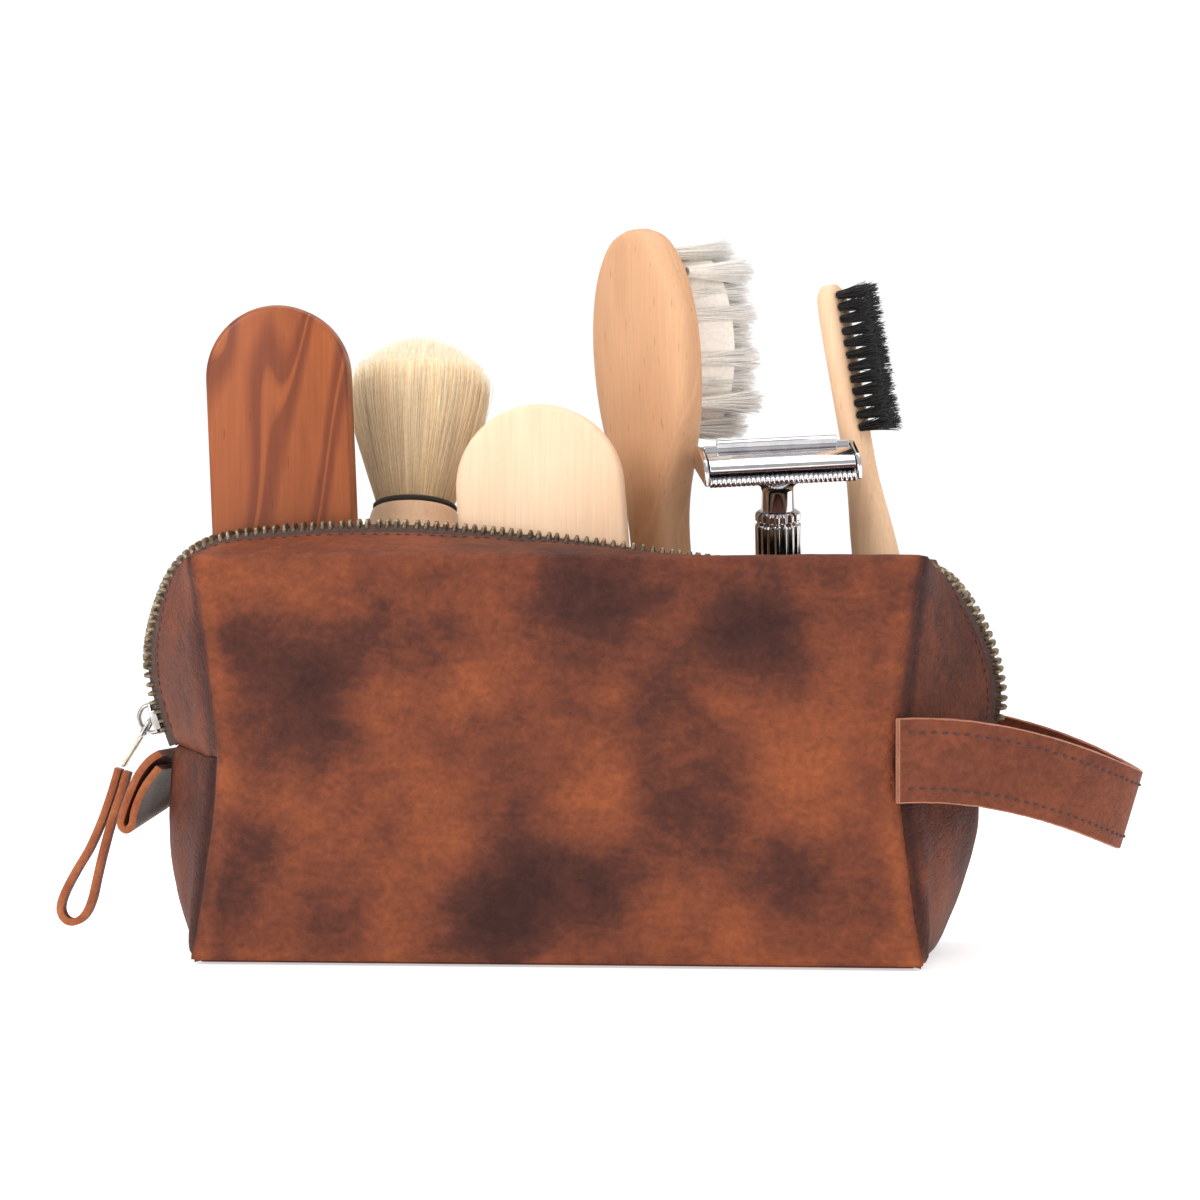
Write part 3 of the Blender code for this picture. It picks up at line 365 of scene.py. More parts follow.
LEATHER_DEEP = (0.046, 0.018, 0.015)
LEATHER_DARK = (0.082, 0.028, 0.020)
LEATHER_BASE = (0.158, 0.046, 0.025)
LEATHER_GLOW = (0.320, 0.088, 0.033)
LOOK = {
    "leather": leather_material("pull_up_leather", LEATHER_DEEP, LEATHER_DARK, LEATHER_BASE, LEATHER_GLOW),
    "strap": leather_material("strap_leather", (0.085, 0.028, 0.020), (0.125, 0.038, 0.024),
                              (0.185, 0.055, 0.030), LEATHER_GLOW, 0.7),
    "lace": leather_material("lace_leather", (0.10, 0.029, 0.018), (0.15, 0.040, 0.022),
                             (0.220, 0.056, 0.028), (0.36, 0.09, 0.035), 0.5),
    "raw_edge": suede_material("raw_leather_edge", (0.32, 0.085, 0.035), (0.45, 0.15, 0.06)),
    "suede": suede_material("grey_suede", (0.17, 0.145, 0.125), (0.26, 0.23, 0.20)),
    "lining": cloth_material("lining_cloth", (0.060, 0.040, 0.032)),
    "tape": cloth_material("zip_tape_cloth", (0.105, 0.045, 0.030), 2200.0),
    "thread": cloth_material("dark_red_thread", (0.085, 0.018, 0.012), 3000.0),
    "brass": metal_material("antique_brass", (0.40, 0.31, 0.21), (0.095, 0.070, 0.048), 0.34, 620.0),
    "nickel": metal_material("satin_nickel", (0.66, 0.64, 0.62), (0.44, 0.41, 0.38), 0.20, 300.0),
    "pale_metal": metal_material("pale_tab_metal", (0.80, 0.70, 0.56), (0.62, 0.52, 0.40), 0.28, 300.0),
    "chrome": metal_material("polished_chrome", (0.80, 0.78, 0.79), (0.62, 0.60, 0.62), 0.07, 120.0, 0.00001),
    "blade": metal_material("blade_steel", (0.62, 0.63, 0.66), (0.50, 0.51, 0.54), 0.20, 900.0),
    "beech": wood_material("oiled_beech", (0.72, 0.405, 0.225), (0.58, 0.300, 0.155), (0.38, 0.160, 0.070),
                           0.55, 0.45, figure=0.35),
    "pale_beech": wood_material("pale_beech", (0.90, 0.60, 0.385), (0.78, 0.48, 0.285), (0.52, 0.27, 0.130),
                                0.4, 0.5, figure=0.3),
    "birch": wood_material("bare_birch", (0.92, 0.66, 0.45), (0.84, 0.54, 0.345), (0.60, 0.33, 0.17), 0.15,
                           0.55, figure=0.35, rings=20.0),
    "stained": wood_material("stained_wood", (0.36, 0.095, 0.026), (0.150, 0.030, 0.011),
                             (0.060, 0.016, 0.010), 0.4, 0.36, 0.10, figure=0.75, rings=26.0),
    "ferrule": cloth_material("dark_binding", (0.055, 0.042, 0.034), 2600.0),
    "cream": bristle_material("cream_bristle", (0.93, 0.70, 0.42), (1.0, 0.89, 0.68)),
    "white": bristle_material("white_goat_hair", (0.96, 0.88, 0.79), (1.0, 0.97, 0.93)),
    "black": bristle_material("black_boar_bristle", (0.012, 0.011, 0.011), (0.030, 0.029, 0.029), 0.40),
    "paper": paper_material(),
}


# ---------------------------------------------------------------- mesh helpers

def add_piece(name, points, faces, look, body, nodes=(), second=None, second_faces=()):
    """A mesh piece from points in millimetres, riding on a body and standing for CAD nodes."""
    mesh = bpy.data.meshes.new(name)
    mesh.from_pydata([tuple(c * MM for c in point) for point in points], [], faces)
    mesh.materials.append(LOOK[look])
    if second:
        mesh.materials.append(LOOK[second])
        for index in second_faces:
            mesh.polygons[index].material_index = 1
    mesh.shade_smooth()
    mesh.validate()
    item = bpy.data.objects.new(name, mesh)
    bpy.context.scene.collection.objects.link(item)
    if body:
        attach(item, body)
    if nodes:
        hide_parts(*nodes)
    return item


def face_out(item):
    work = bmesh.new()
    work.from_mesh(item.data)
    bmesh.ops.recalc_face_normals(work, faces=work.faces)
    work.to_mesh(item.data)
    work.free()
    return item


def sharpen(item, angle=40):
    item.data.set_sharp_from_angle(angle=math.radians(angle))
    return item


def add_modifier(item, kind, **settings):
    modifier = item.modifiers.new(kind.lower(), kind)
    for key, value in settings.items():
        setattr(modifier, key, value)
    return item


def round_edges(item, width, degrees):
    """Bevel every edge that is sharper than an angle."""
    add_modifier(item, "BEVEL", width=width * MM, segments=3, limit_method="ANGLE",
                 angle_limit=math.radians(degrees))


def ring_faces(levels, count, close_ends=True, offset=0):
    faces = []
    for level in range(levels - 1):
        start = offset + level * count
        for k in range(count):
            following = (k + 1) % count
            faces.append((start + k, start + following, start + count + following, start + count + k))
    if close_ends:
        faces.append(tuple(offset + k for k in reversed(range(count))))
        faces.append(tuple(offset + (levels - 1) * count + k for k in range(count)))
    return faces


def ring_piece(name, rings, look, body, nodes=(), matrix=None):
    """A closed body through rings of equal count."""
    points = [Vector(point) for ring in rings for point in ring]
    if matrix is not None:
        points = [matrix @ point for point in points]
    item = add_piece(name, points, ring_faces(len(rings), len(rings[0])), look, body, nodes)
    return sharpen(face_out(item))


def turned(name, profile, sides, look, body, nodes=(), matrix=None, flute=0.0, flutes=0):
    """A turned body from (radius, height) pairs, its flutes rounded hollows."""
    rings = []
    for radius, height in profile:
        ring = []
        for k in range(sides):
            angle = 2 * math.pi * k / sides
            hollow = flute * (0.5 - 0.5 * math.cos(angle * flutes)) if flutes else 0.0
            ring.append(((radius - hollow) * math.cos(angle), (radius - hollow) * math.sin(angle), height))
        rings.append(ring)
    return ring_piece(name, rings, look, body, nodes, matrix)


def smooth_profile(points, per_point=4):
    flat = [(a, 0.0, b) for a, b in points]
    total = per_point * (len(points) - 1)
    return [(max(p.x, 0.05), p.z) for p in (along_curve(flat, k / per_point) for k in range(total + 1))]


def strands(name, paths, radius, look, body, nodes=(), matrix=None, along=2, sides=3):
    """Hairs as one mesh. paths is an array (strand, level, xyz) in millimetres from root to tip.

    The hairs run roughly along the given axis, 0 to 2.
    """
    count, levels, _ = paths.shape
    taper = np.linspace(1.0, 0.45, levels)
    turn = RANDOM.uniform(0, 2 * math.pi, count)
    points = np.zeros((count, levels, sides, 3))
    for k in range(sides):
        angle = turn + 2 * math.pi * k / sides
        offset = np.zeros((count, 3))
        offset[:, (along + 1) % 3] = np.cos(angle)
        offset[:, (along + 2) % 3] = np.sin(angle)
        points[:, :, k, :] = paths + offset[:, None, :] * radius * taper[None, :, None]
    flat = points.reshape(-1, 3)
    if matrix is not None:
        place = np.array(matrix)
        flat = flat @ place[:3, :3].T + place[:3, 3]
    per_strand = levels * sides
    walls = np.array(ring_faces(levels, sides, False))
    starts = np.arange(count)[:, None, None] * per_strand
    faces = (walls[None, :, :] + starts).reshape(-1, 4).tolist()
    tip = np.arange(sides)[None, :] + (levels - 1) * sides
    faces += (tip + np.arange(count)[:, None] * per_strand).tolist()
    item = add_piece(name, flat.tolist(), faces, look, body, nodes)
    height = item.data.attributes.new("height", "FLOAT", "POINT")
    height.data.foreach_set("value", np.tile(np.repeat(np.linspace(0, 1, levels), sides), count))
    shade = item.data.attributes.new("strand", "FLOAT", "POINT")
    shade.data.foreach_set("value", np.repeat(RANDOM.uniform(0, 1, count), per_strand))
    return item


def stitches(name, spots, body, look="thread", length=2.2, radius=0.32):
    """Short thread runs: each spot is a middle point, the way along and the way out."""
    points, faces = [], []
    sides, levels = 6, 5
    for middle, along, outward in spots:
        across = along.cross(outward).normalized()
        start = len(points)
        for level in range(levels):
            share = level / (levels - 1)
            rise = math.sin(math.pi * share)
            centre = middle + along * (share - 0.5) * length + outward * (rise * 0.35 - 0.25)
            size = radius * (0.45 + 0.55 * rise)
            for k in range(sides):
                angle = 2 * math.pi * k / sides
                points.append(centre + across * size * math.cos(angle) + outward * size * math.sin(angle))
        faces += ring_faces(levels, sides, True, start)
    return face_out(add_piece(name, points, faces, look, body))


# ---------------------------------------------------------------- leather shell

# Marks on the front: (x, z, radius, strength), dark below 0 and pulled pale above 0
FRONT_MARKS = (
    (-7.0, 15.0, 17.0, -0.42), (12.0, 20.0, 12.0, -0.3), (-62.0, 66.0, 15.0, -0.38),
    (-80.0, 84.0, 11.0, -0.22), (8.0, 92.0, 18.0, -0.26), (52.0, 88.0, 14.0, -0.4),
    (62.0, 22.0, 14.0, -0.26), (-80.0, 20.0, 14.0, -0.22), (-40.0, 40.0, 12.0, -0.26),
    (38.0, 42.0, 15.0, -0.24), (-30.0, 88.0, 16.0, -0.14), (-58.0, 14.0, 10.0, -0.12),
    (-47.0, 69.0, 9.0, 0.34), (-42.0, 48.0, 12.0, 0.26), (-28.0, 34.0, 12.0, 0.26),
    (-22.0, 73.0, 8.0, 0.24), (66.0, 50.0, 14.0, 0.2), (-30.0, 103.0, 15.0, 0.16),
    (-74.0, 10.0, 10.0, 0.24), (-45.0, 8.0, 12.0, 0.16), (26.0, 13.0, 9.0, 0.22),
    (-1.0, 4.0, 10.0, 0.2), (48.0, 71.0, 9.0, 0.22), (12.0, 40.0, 10.0, 0.16),
    (-86.0, 96.0, 10.0, 0.14), (45.0, 6.0, 10.0, 0.18), (-88.0, 48.0, 9.0, 0.16),
    (82.0, 36.0, 10.0, 0.12),
)


def lower_tip(height, side=1):
    return read_table(LEFT_END_TIP if side < 0 else LOWER_END_TIP, height)


def build_shell_half(side):
    """Vertices and faces of one wall with its top lip and the upper half of both ends."""
    columns, low_rows, high_rows, strip_rows = 84, 22, 22, 18
    heights = [SEAM_HEIGHT * j / low_rows for j in range(low_rows)]
    heights += [SEAM_HEIGHT + (PANEL_HEIGHT - SEAM_HEIGHT) * j / high_rows for j in range(high_rows + 1)]
    rows = len(heights)
    points, faces, edge_weight = [], [], []

    def add(point, weight):
        points.append(Vector(point))
        edge_weight.append(weight)
        return len(points) - 1

    grid = []
    for j, height in enumerate(heights):
        line = []
        for i in range(columns + 1):
            share = 2 * i / columns - 1
            reach = corner_half_length(height)
            x = share * reach
            belly = 1.3 * (1 - share ** 2) * math.sin(math.pi * j / (rows - 1))
            from_corner = reach - abs(x)
            inward = 0.0
            if from_corner < 0.1:
                depth = 2.0 * smoothstep((PANEL_HEIGHT - height) / 9) * smoothstep(height / 7)
                inward = depth
                x -= math.copysign(0.5 * depth, x)
            belly += 0.5 * math.exp(-((from_corner - 6) / 4) ** 2)
            weight = 0.25 + 0.4 * smoothstep((height - 102) / 5)
            line.append(add((x, side * (HALF_DEPTH + belly - inward), height), weight))
        grid.append(line)
    for depth, rise in ((2.4, 0.5), (4.6, 0.9)):
        reach = corner_half_length(0) - 1.0
        line = [add((reach * (2 * i / columns - 1), side * (HALF_DEPTH - depth), rise), 0.6)
                for i in range(columns + 1)]
        grid.insert(0, line)
    for lower, upper in zip(grid, grid[1:]):
        for i in range(columns):
            faces.append((lower[i], lower[i + 1], upper[i + 1], upper[i]))

    first = low_rows + 2
    border = [(line[0], "left") for line in grid[first:]]
    border += [(index, "top") for index in grid[-1][1:-1]]
    border += [(line[-1], "right") for line in reversed(grid[first:])]
    left = [(edge[1], k) for k, (edge, _) in enumerate(MOUTH_STATIONS[:8])]
    top = [(edge[0], k) for k, (edge, _) in enumerate(MOUTH_STATIONS) if 7 <= k <= 16]
    right = [(-edge[1], k) for k, (edge, _) in enumerate(MOUTH_STATIONS) if k >= 16]
    strip = []
    for index, part in border:
        edge = points[index]
        if part == "left":
            place = read_table(left, max(edge.z, left[0][0]))
        elif part == "top":
            place = read_table(top, edge.x)
        else:
            place = read_table(right, -max(edge.z, MOUTH_STATIONS[-1][0][1]))
        point, _, across, outward = zip_frame(side, place)
        inner = point + across * LEATHER_SETBACK + outward * LEATHER_LIFT
        line = [index]
        on_end = 1.0 if part != "top" else 0.0
        for i in range(1, strip_rows + 1):
            share = i / strip_rows
            bulge = (0.4 + 0.3 * on_end) * math.sin(math.pi * share)
            bulge += on_end * 0.9 * math.exp(-((share - 0.16) / 0.12) ** 2)
            target = edge.lerp(inner, share) + outward * bulge
            weight = 0.30 + 0.35 * (1 - smoothstep(share * 3)) * (1 - on_end)
            if i == strip_rows:
                weight = 0.0
            line.append(add(target, weight))
        strip.append(line)
    for before, after in zip(strip, strip[1:]):
        for i in range(strip_rows):
            faces.append((before[i], after[i], after[i + 1], before[i + 1]))
    for line, end in ((strip[0], -1), (strip[-1], 1)):
        roll = []
        for index in line:
            start = points[index]
            roll.append(add((start.x - end * 2.4, start.y - side * 0.8, SEAM_HEIGHT + 0.6), 0.0))
        for i in range(strip_rows):
            faces.append((line[i], line[i + 1], roll[i + 1], roll[i]))
        for index in line[1:]:
            edge_weight[index] = 0.15
    return points, faces, edge_weight


def relax(points, faces, weights, rounds):
    """Soften the folds: each point moves towards the middle of its neighbours by its own weight."""
    count = len(points)
    place = np.array([tuple(point) for point in points])
    edges = set()
    for face in faces:
        for a, b in zip(face, face[1:] + face[:1]):
            edges.add((min(a, b), max(a, b)))
    edges = np.array(sorted(edges))
    degree = np.bincount(edges.ravel(), minlength=count).astype(float)[:, None]
    weight = np.array(weights)[:, None]
    for _ in range(rounds):
        total = np.zeros_like(place)
        np.add.at(total, edges[:, 0], place[edges[:, 1]])
        np.add.at(total, edges[:, 1], place[edges[:, 0]])
        place = place + (total / degree - place) * weight
    return place


def vertex_normals(place, faces):
    normals = np.zeros_like(place)
    quads = np.array(faces)
    face_normals = np.cross(place[quads[:, 2]] - place[quads[:, 0]], place[quads[:, 3]] - place[quads[:, 1]])
    for k in range(4):
        np.add.at(normals, quads[:, k], face_normals)
    return normals / np.maximum(np.linalg.norm(normals, axis=1)[:, None], 1e-9)


def undulate(place, normals, seed, amount, fade):
    """Hand-worn unevenness: broad dents and finer ripples."""
    moved = place.copy()
    for k, (point, normal) in enumerate(zip(place, normals)):
        spot = Vector(point) * 0.022 + Vector((seed, seed * 2, 0))
        wave = noise.noise(spot) * 1.0 + 0.38 * noise.noise(spot * 2.9) + 0.14 * noise.noise(spot * 8.0)
        moved[k] = point + normal * wave * amount * fade(point)
    return moved


def set_tone(item, tone):
    attribute = item.data.attributes.new("tone", "FLOAT", "POINT")
    attribute.data.foreach_set("value", np.asarray(tone, dtype=np.float32))


def mark_tone(place, marks):
    tone = np.zeros(len(place))
    for x, z, radius, strength in marks:
        away = (place[:, 0] - x) ** 2 + (place[:, 2] - z) ** 2
        tone += strength * np.exp(-away / radius ** 2)
    return tone


def seam_highlight_and_shade(place):
    """Painted light on the leather: pale painted highlights along its bottom edge and beside the boxed
    corners, and dark painted shade in their creases.
    """
    # painted highlight along the bottom fold
    tone = 0.12 * np.exp(-(place[:, 2] / 3.5) ** 2)
    corner = np.array([corner_half_length(min(max(z, 0.0), PANEL_HEIGHT)) for z in place[:, 2]])
    # painted highlight on the roll beside each boxed corner
    tone += 0.14 * np.exp(-((np.abs(place[:, 0]) - corner + 4.0) / 2.6) ** 2)
    # painted shade in the corner crease
    tone -= 0.34 * np.exp(-((np.abs(place[:, 0]) - corner) / 1.0) ** 2)
    return tone


def build_leather_walls():
    for name, side, nodes in (("leather_front", -1, ("front_panel", "front_gusset")),
                              ("leather_back", 1, ("back_panel", "rear_gusset"))):
        points, faces, weights = build_shell_half(side)
        place = relax(points, faces, weights, 5)
        place[:, 2] = np.maximum(place[:, 2], 0.0)
        normals = vertex_normals(place, faces)
        middle = place.mean(axis=0)
        if (normals * (place - middle)).sum() < 0:
            faces = [face[::-1] for face in faces]
            normals = -normals

        def fade(point):
            from_zip = min(abs(point[2] - 118), abs(abs(point[1]) - 30)) if point[2] > 104 else 10
            return smoothstep(point[2] / 10) * min(1.0, 0.3 + from_zip / 12)

        place = undulate(place, normals, 3.0 if side < 0 else 9.0, 0.9, fade)
        item = add_piece(name, place.tolist(), faces, "leather", "root", nodes)
        # painted highlights along the bottom edge and beside the corners, painted shade in the corner creases
        tone = seam_highlight_and_shade(place)
        if side < 0:
            tone += mark_tone(place, FRONT_MARKS) * (place[:, 1] < -40)
        set_tone(item, tone)
        add_modifier(item, "SOLIDIFY", thickness=LEATHER * MM, offset=-1.0)


def build_lower_ends():
    columns, rows = 52, 24
    for name, side in (("left_lower_end", -1), ("right_lower_end", 1)):
        points, weights, grid = [], [], []
        for j in range(-1, rows + 2):
            height = SEAM_HEIGHT * min(max(j, 0), rows) / rows
            line = []
            for i in range(columns + 1):
                share = 2 * i / columns - 1
                y = share * (HALF_DEPTH - 1.9)
                corner = corner_half_length(height) - 0.9
                lens = 1 - abs(share) ** END_LENS_POWER
                from_corner = (1 - abs(share)) * HALF_DEPTH
                roll = 1.5 * math.exp(-((from_corner - 5.5) / 3.5) ** 2)
                roll -= 1.2 * math.exp(-(from_corner / 2.0) ** 2)
                x = corner + (lower_tip(height, side) - corner) * lens + roll
                z = height + SEAM_RISE * lens * smoothstep((height - 42.0) / 12.0)
                if j < 0:
                    x, z = x - 3.0, 0.7
                if j > rows:
                    x, z = x - 2.4, SEAM_HEIGHT + 0.5 + SEAM_RISE * lens
                points.append(Vector((side * x, y, z)))
                weights.append(0.0 if i in (0, columns) or j < 0 or j > rows else 0.35)
                line.append(len(points) - 1)
            grid.append(line)
        faces = [(a[i], a[i + 1], b[i + 1], b[i]) for a, b in zip(grid, grid[1:]) for i in range(columns)]
        if side < 0:
            faces = [face[::-1] for face in faces]
        place = relax(points, faces, weights, 8)
        place[:, 2] = np.maximum(place[:, 2], 0.0)
        normals = vertex_normals(place, faces)
        place = undulate(place, normals, 5.0 + side, 1.1, lambda point: smoothstep(point[2] / 10)
                         * smoothstep((54.5 - point[2]) / 8) * smoothstep((54 - abs(point[1])) / 10))
        item = add_piece(f"leather_{name}", place.tolist(), faces, "leather", "root", (name,))
        # painted highlights and painted crease shade, 0.10 darker overall
        set_tone(item, seam_highlight_and_shade(place) - 0.10)
        add_modifier(item, "SOLIDIFY", thickness=LEATHER * MM, offset=-1.0)


def surface_of(*items):
    """A tree for finding the nearest spot on some pieces, in metres."""
    trees = []
    graph = bpy.context.evaluated_depsgraph_get()
    for item in items:
        work = bmesh.new()
        work.from_object(item, graph)
        trees.append(BVHTree.FromBMesh(work))
        work.free()

    def nearest(point):
        hits = [tree.find_nearest(Vector(point) * MM) for tree in trees]
        place, normal, _, _ = min(hits, key=lambda hit: hit[3])
        return place / MM, normal
    return nearest


def build_base_and_lining():
    steps = 48
    outline = []
    for side in (1, -1):
        for k in range(steps + 1):
            depth = (HALF_DEPTH - LEATHER - 1.0) * (2 * k / steps - 1)
            lens = 1 - abs(depth / HALF_DEPTH) ** END_LENS_POWER
            reach = BASE_CORNER_HALF_LENGTH + (lower_tip(0.0, side) - BASE_CORNER_HALF_LENGTH) * lens - 3.6
            outline.append((side * reach, side * depth))
    rings = []
    for z, inset in ((0.0, 0.6), (0.25, 0.15), (0.9, 0.0), (1.8, 0.3)):
        rings.append([(x - math.copysign(inset, x), y - math.copysign(inset, y), z) for x, y in outline])
    base = ring_piece("leather_base", rings, "leather", "root", ("base_panel",))
    set_tone(base, [-0.05] * len(base.data.vertices))

    heights = [LINING_FLOOR + 1.2] + [LINING_FLOOR + (98.0 - LINING_FLOOR) * j / 30 for j in range(1, 31)]

    def ring(height, extra):
        outline = []
        half_depth = 52.6 - extra
        for k in range(41):
            depth = half_depth * (2 * k / 40 - 1)
            corner = corner_half_length(height) - 2.6
            tip = max(min(lower_tip(height) - 5.2, 103.0), corner)
            reach = corner + (tip - corner) * (1 - abs(depth / half_depth) ** END_LENS_POWER) - extra
            outline.append(Vector((reach, depth, height)))
        sides = [Vector((-x, half_depth, height)) for x in np.linspace(-outline[-1].x, outline[-1].x,
                                                                       40)[1:-1]]
        back = [Vector((-p.x, p.y, height)) for p in reversed(outline)]
        front = [Vector((x, -half_depth, height)) for x in np.linspace(back[-1].x, outline[0].x, 40)[1:-1]]
        wave = 0.35 if extra else 0.0
        points = outline + sides + back + front
        return [p + Vector((p.x, p.y, 0)).normalized() * wave * (noise.noise(p * 0.09) - 0.6) for p in points]

    rings = [ring(z, 0.0) for z in heights] + [ring(z, 0.8) for z in reversed(heights)]
    for point in rings[-1]:
        point.z = LINING_FLOOR + 2.0
    ring_piece("lining_bag", rings, "lining", "root", ("lining",))


# ---------------------------------------------------------------- zip

TAPE_SECTION = (
    (-0.35, 0.0), (-0.1, 0.6), (0.6, 0.85), (1.3, 0.45), (2.2, -0.2), (4.2, -1.4), (9.0, -3.0),
    (9.0, -3.6), (4.2, -2.0), (2.2, -0.8), (1.3, -0.55), (0.6, -0.85), (-0.1, -0.6),
)
# One tooth from its legs on the tape to its nose: across, half length along the row, half thickness
TOOTH_STATIONS = (
    (1.8, 0.50, 1.66), (1.4, 0.70, 2.07), (0.2, 0.74, 2.20), (-0.5, 0.66, 2.02), (-1.2, 0.48, 1.66),
    (-1.8, 0.64, 1.72), (-2.4, 0.60, 1.41), (-2.7, 0.34, 0.90),
)


def build_zip():
    for end, side in (("front", -1), ("rear", 1)):
        route = zip_route(side)
        steps = 300
        rings = []
        for k in range(steps + 1):
            point, _, across, outward = zip_frame(side, (len(route) - 1) * k / steps)
            rings.append([point + across * a + outward * b for a, b in TAPE_SECTION])
        ring_piece(f"tape_{end}", rings, "tape", "root", (f"zip_tape_{end}",))

        places = even_places(route, TOOTH_PITCH / 2)
        first = round(ROW_START / (TOOTH_PITCH / 2))
        points, faces = [], []
        for place in places[first:-first:2]:
            point, along, across, outward = zip_frame(side, place)
            start = len(points)
            for reach, half_along, half_out in TOOTH_STATIONS:
                for k in range(8):
                    angle = 2 * math.pi * (k + 0.5) / 8
                    c, s = math.cos(angle), math.sin(angle)
                    a = math.copysign(min(1.0, abs(c) * 1.25), c) * half_along
                    b = math.copysign(min(1.0, abs(s) * 1.25), s) * half_out
                    points.append(point + across * reach + along * a + outward * b)
            faces += ring_faces(len(TOOTH_STATIONS), 8, True, start)
        teeth = add_piece(f"teeth_{end}", points, faces, "brass", "root",
                          (f"zip_teeth_{end}",))
        sharpen(face_out(teeth), 50)

        point, along, across, outward = zip_frame(side, places[-2])
        rings = []
        for shift, size in ((-3.0, 0.7), (-2.7, 1.0), (-0.2, 1.0), (0.1, 0.7)):
            ring = []
            for k in range(12):
                angle = 2 * math.pi * k / 12
                ring.append(point + along * shift - across * (0.6 - 2.0 * size * math.cos(angle))
                            + outward * 1.5 * size * math.sin(angle))
            rings.append(ring)
        ring_piece(f"top_stop_{end}", rings, "brass", "root", (f"zip_top_stop_{end}",))

    point, along, _, outward = zip_frame(-1, 0.0)
    centre = Vector((point.x, 0, point.z))
    rings = []
    for shift, size in ((0.3, 0.8), (0.7, 1.0), (3.1, 1.0), (3.5, 0.8)):
        ring = []
        for k in range(16):
            angle = 2 * math.pi * k / 16
            ring.append(centre + along * shift + Vector((0, 3.0 * size * math.cos(angle), 0))
                        + outward * 1.4 * size * math.sin(angle))
        rings.append(ring)
    ring_piece("bottom_stop", rings, "brass", "root", ("zip_bottom_stop",))


def build_top_stitches():
    """The row of stitches beside the zip, through the leather into the tape."""
    for end, side in (("front", -1), ("back", 1)):
        nearest = surface_of(bpy.data.objects[f"leather_{end}"])
        spots = []
        for place in even_places(zip_route(side), 3.0)[2:-2]:
            point, along, across, outward = zip_frame(side, place)
            spot, _ = nearest(point + across * (LEATHER_SETBACK + 2.3) + outward * (LEATHER_LIFT + 3.0))
            spots.append((spot, along, outward))
        stitches(f"zip_stitches_{end}", spots, "root", length=2.3, radius=0.33)


def slider_point(out, across, up):
    axis = Vector((-0.313, 0.0, 0.950)).normalized()
    outward = Vector((-axis.z, 0, axis.x))
    return Vector((-113.4, 0.0, 59.1)) + axis * up + outward * out + Vector((0, across, 0))


def slab(name, outline, place, low, high, look, body, bevel, nodes=()):
    """An outline of pairs, given a thickness by place(a, b, height), with rounded edges."""
    rings = [[place(a, b, height) for a, b in outline] for height in (low, high)]
    item = ring_piece(name, rings, look, body, nodes)
    round_edges(item, bevel, 50)
    return item


def tube(name, path, radius, look, body, nodes=(), sides=12, closed=False, flat=1.0):
    """A round or flattened wire along a path of points."""
    rings = []
    last = len(path) - 1
    for k, point in enumerate(path):
        before = path[k - 1] if k or closed else path[0]
        after = path[(k + 1) % len(path)] if k < last or closed else path[last]
        along = (after - before).normalized()
        side = along.cross(Vector((0, 1, 0)))
        if side.length < 0.3:
            side = along.cross(Vector((1, 0, 0)))
        side.normalize()
        other = along.cross(side)
        size = radius if closed or 0 < k < last else radius * 0.75
        rings.append([point + (side * math.cos(t) + other * math.sin(t) * flat) * size
                      for t in (2 * math.pi * n / sides for n in range(sides))])
    points = [p for ring in rings for p in ring]
    faces = ring_faces(len(rings), sides, not closed)
    if closed:
        start = last * sides
        faces += [(start + n, start + (n + 1) % sides, (n + 1) % sides, n) for n in range(sides)]
    return face_out(add_piece(name, points, faces, look, body, nodes))


def build_slider():
    plate = [(-5.6, 0.3), (-6.1, 2.5), (-6.0, 6.0), (-4.6, 8.7), (-2.2, 9.4), (2.2, 9.4), (4.6, 8.7),
             (6.0, 6.0), (6.1, 2.5), (5.6, 0.3), (3.0, 0.0), (-3.0, 0.0)]

    def stack(a, b, height):
        return slider_point(height, a, b)

    slab("slider_top_plate", plate, stack, 1.85, 2.8, "nickel", "slider", 0.35, ("slider_body",))
    under = [(a * 0.84, b) for a, b in plate]
    slab("slider_bottom_plate", under, stack, -2.8, -1.85, "nickel", "slider", 0.35)
    slab("slider_divider", ((-1.1, 6.6), (1.1, 6.6), (1.1, 9.0), (-1.1, 9.0)), stack, -2.2, 2.2, "nickel",
         "slider", 0.2)
    for side in (-1, 1):
        wall = ((side * 6.1, 1.2), (side * 5.35, 1.2), (side * 5.35, 6.6), (side * 6.1, 6.6))
        slab(f"slider_wall_{'left' if side < 0 else 'right'}", wall, stack, 0.75, 2.3, "nickel", "slider",
             0.2)
    bridge = ((2.4, 8.6), (5.0, 8.5), (6.9, 6.6), (7.2, 4.2), (6.0, 1.9), (4.4, 1.0), (2.4, 0.9))
    route = [slider_point(out, 0.0, up) for out, up in bridge]
    path = [along_curve(route, k / 6) for k in range(6 * (len(route) - 1) + 1)]
    tube("slider_bridge", path, 0.62, "nickel", "slider", flat=2.3)


PULL_HINGE = Vector((-118.6, 0.0, 62.2))
PULL_TIP = Vector((-126.1, 0.0, 49.9))


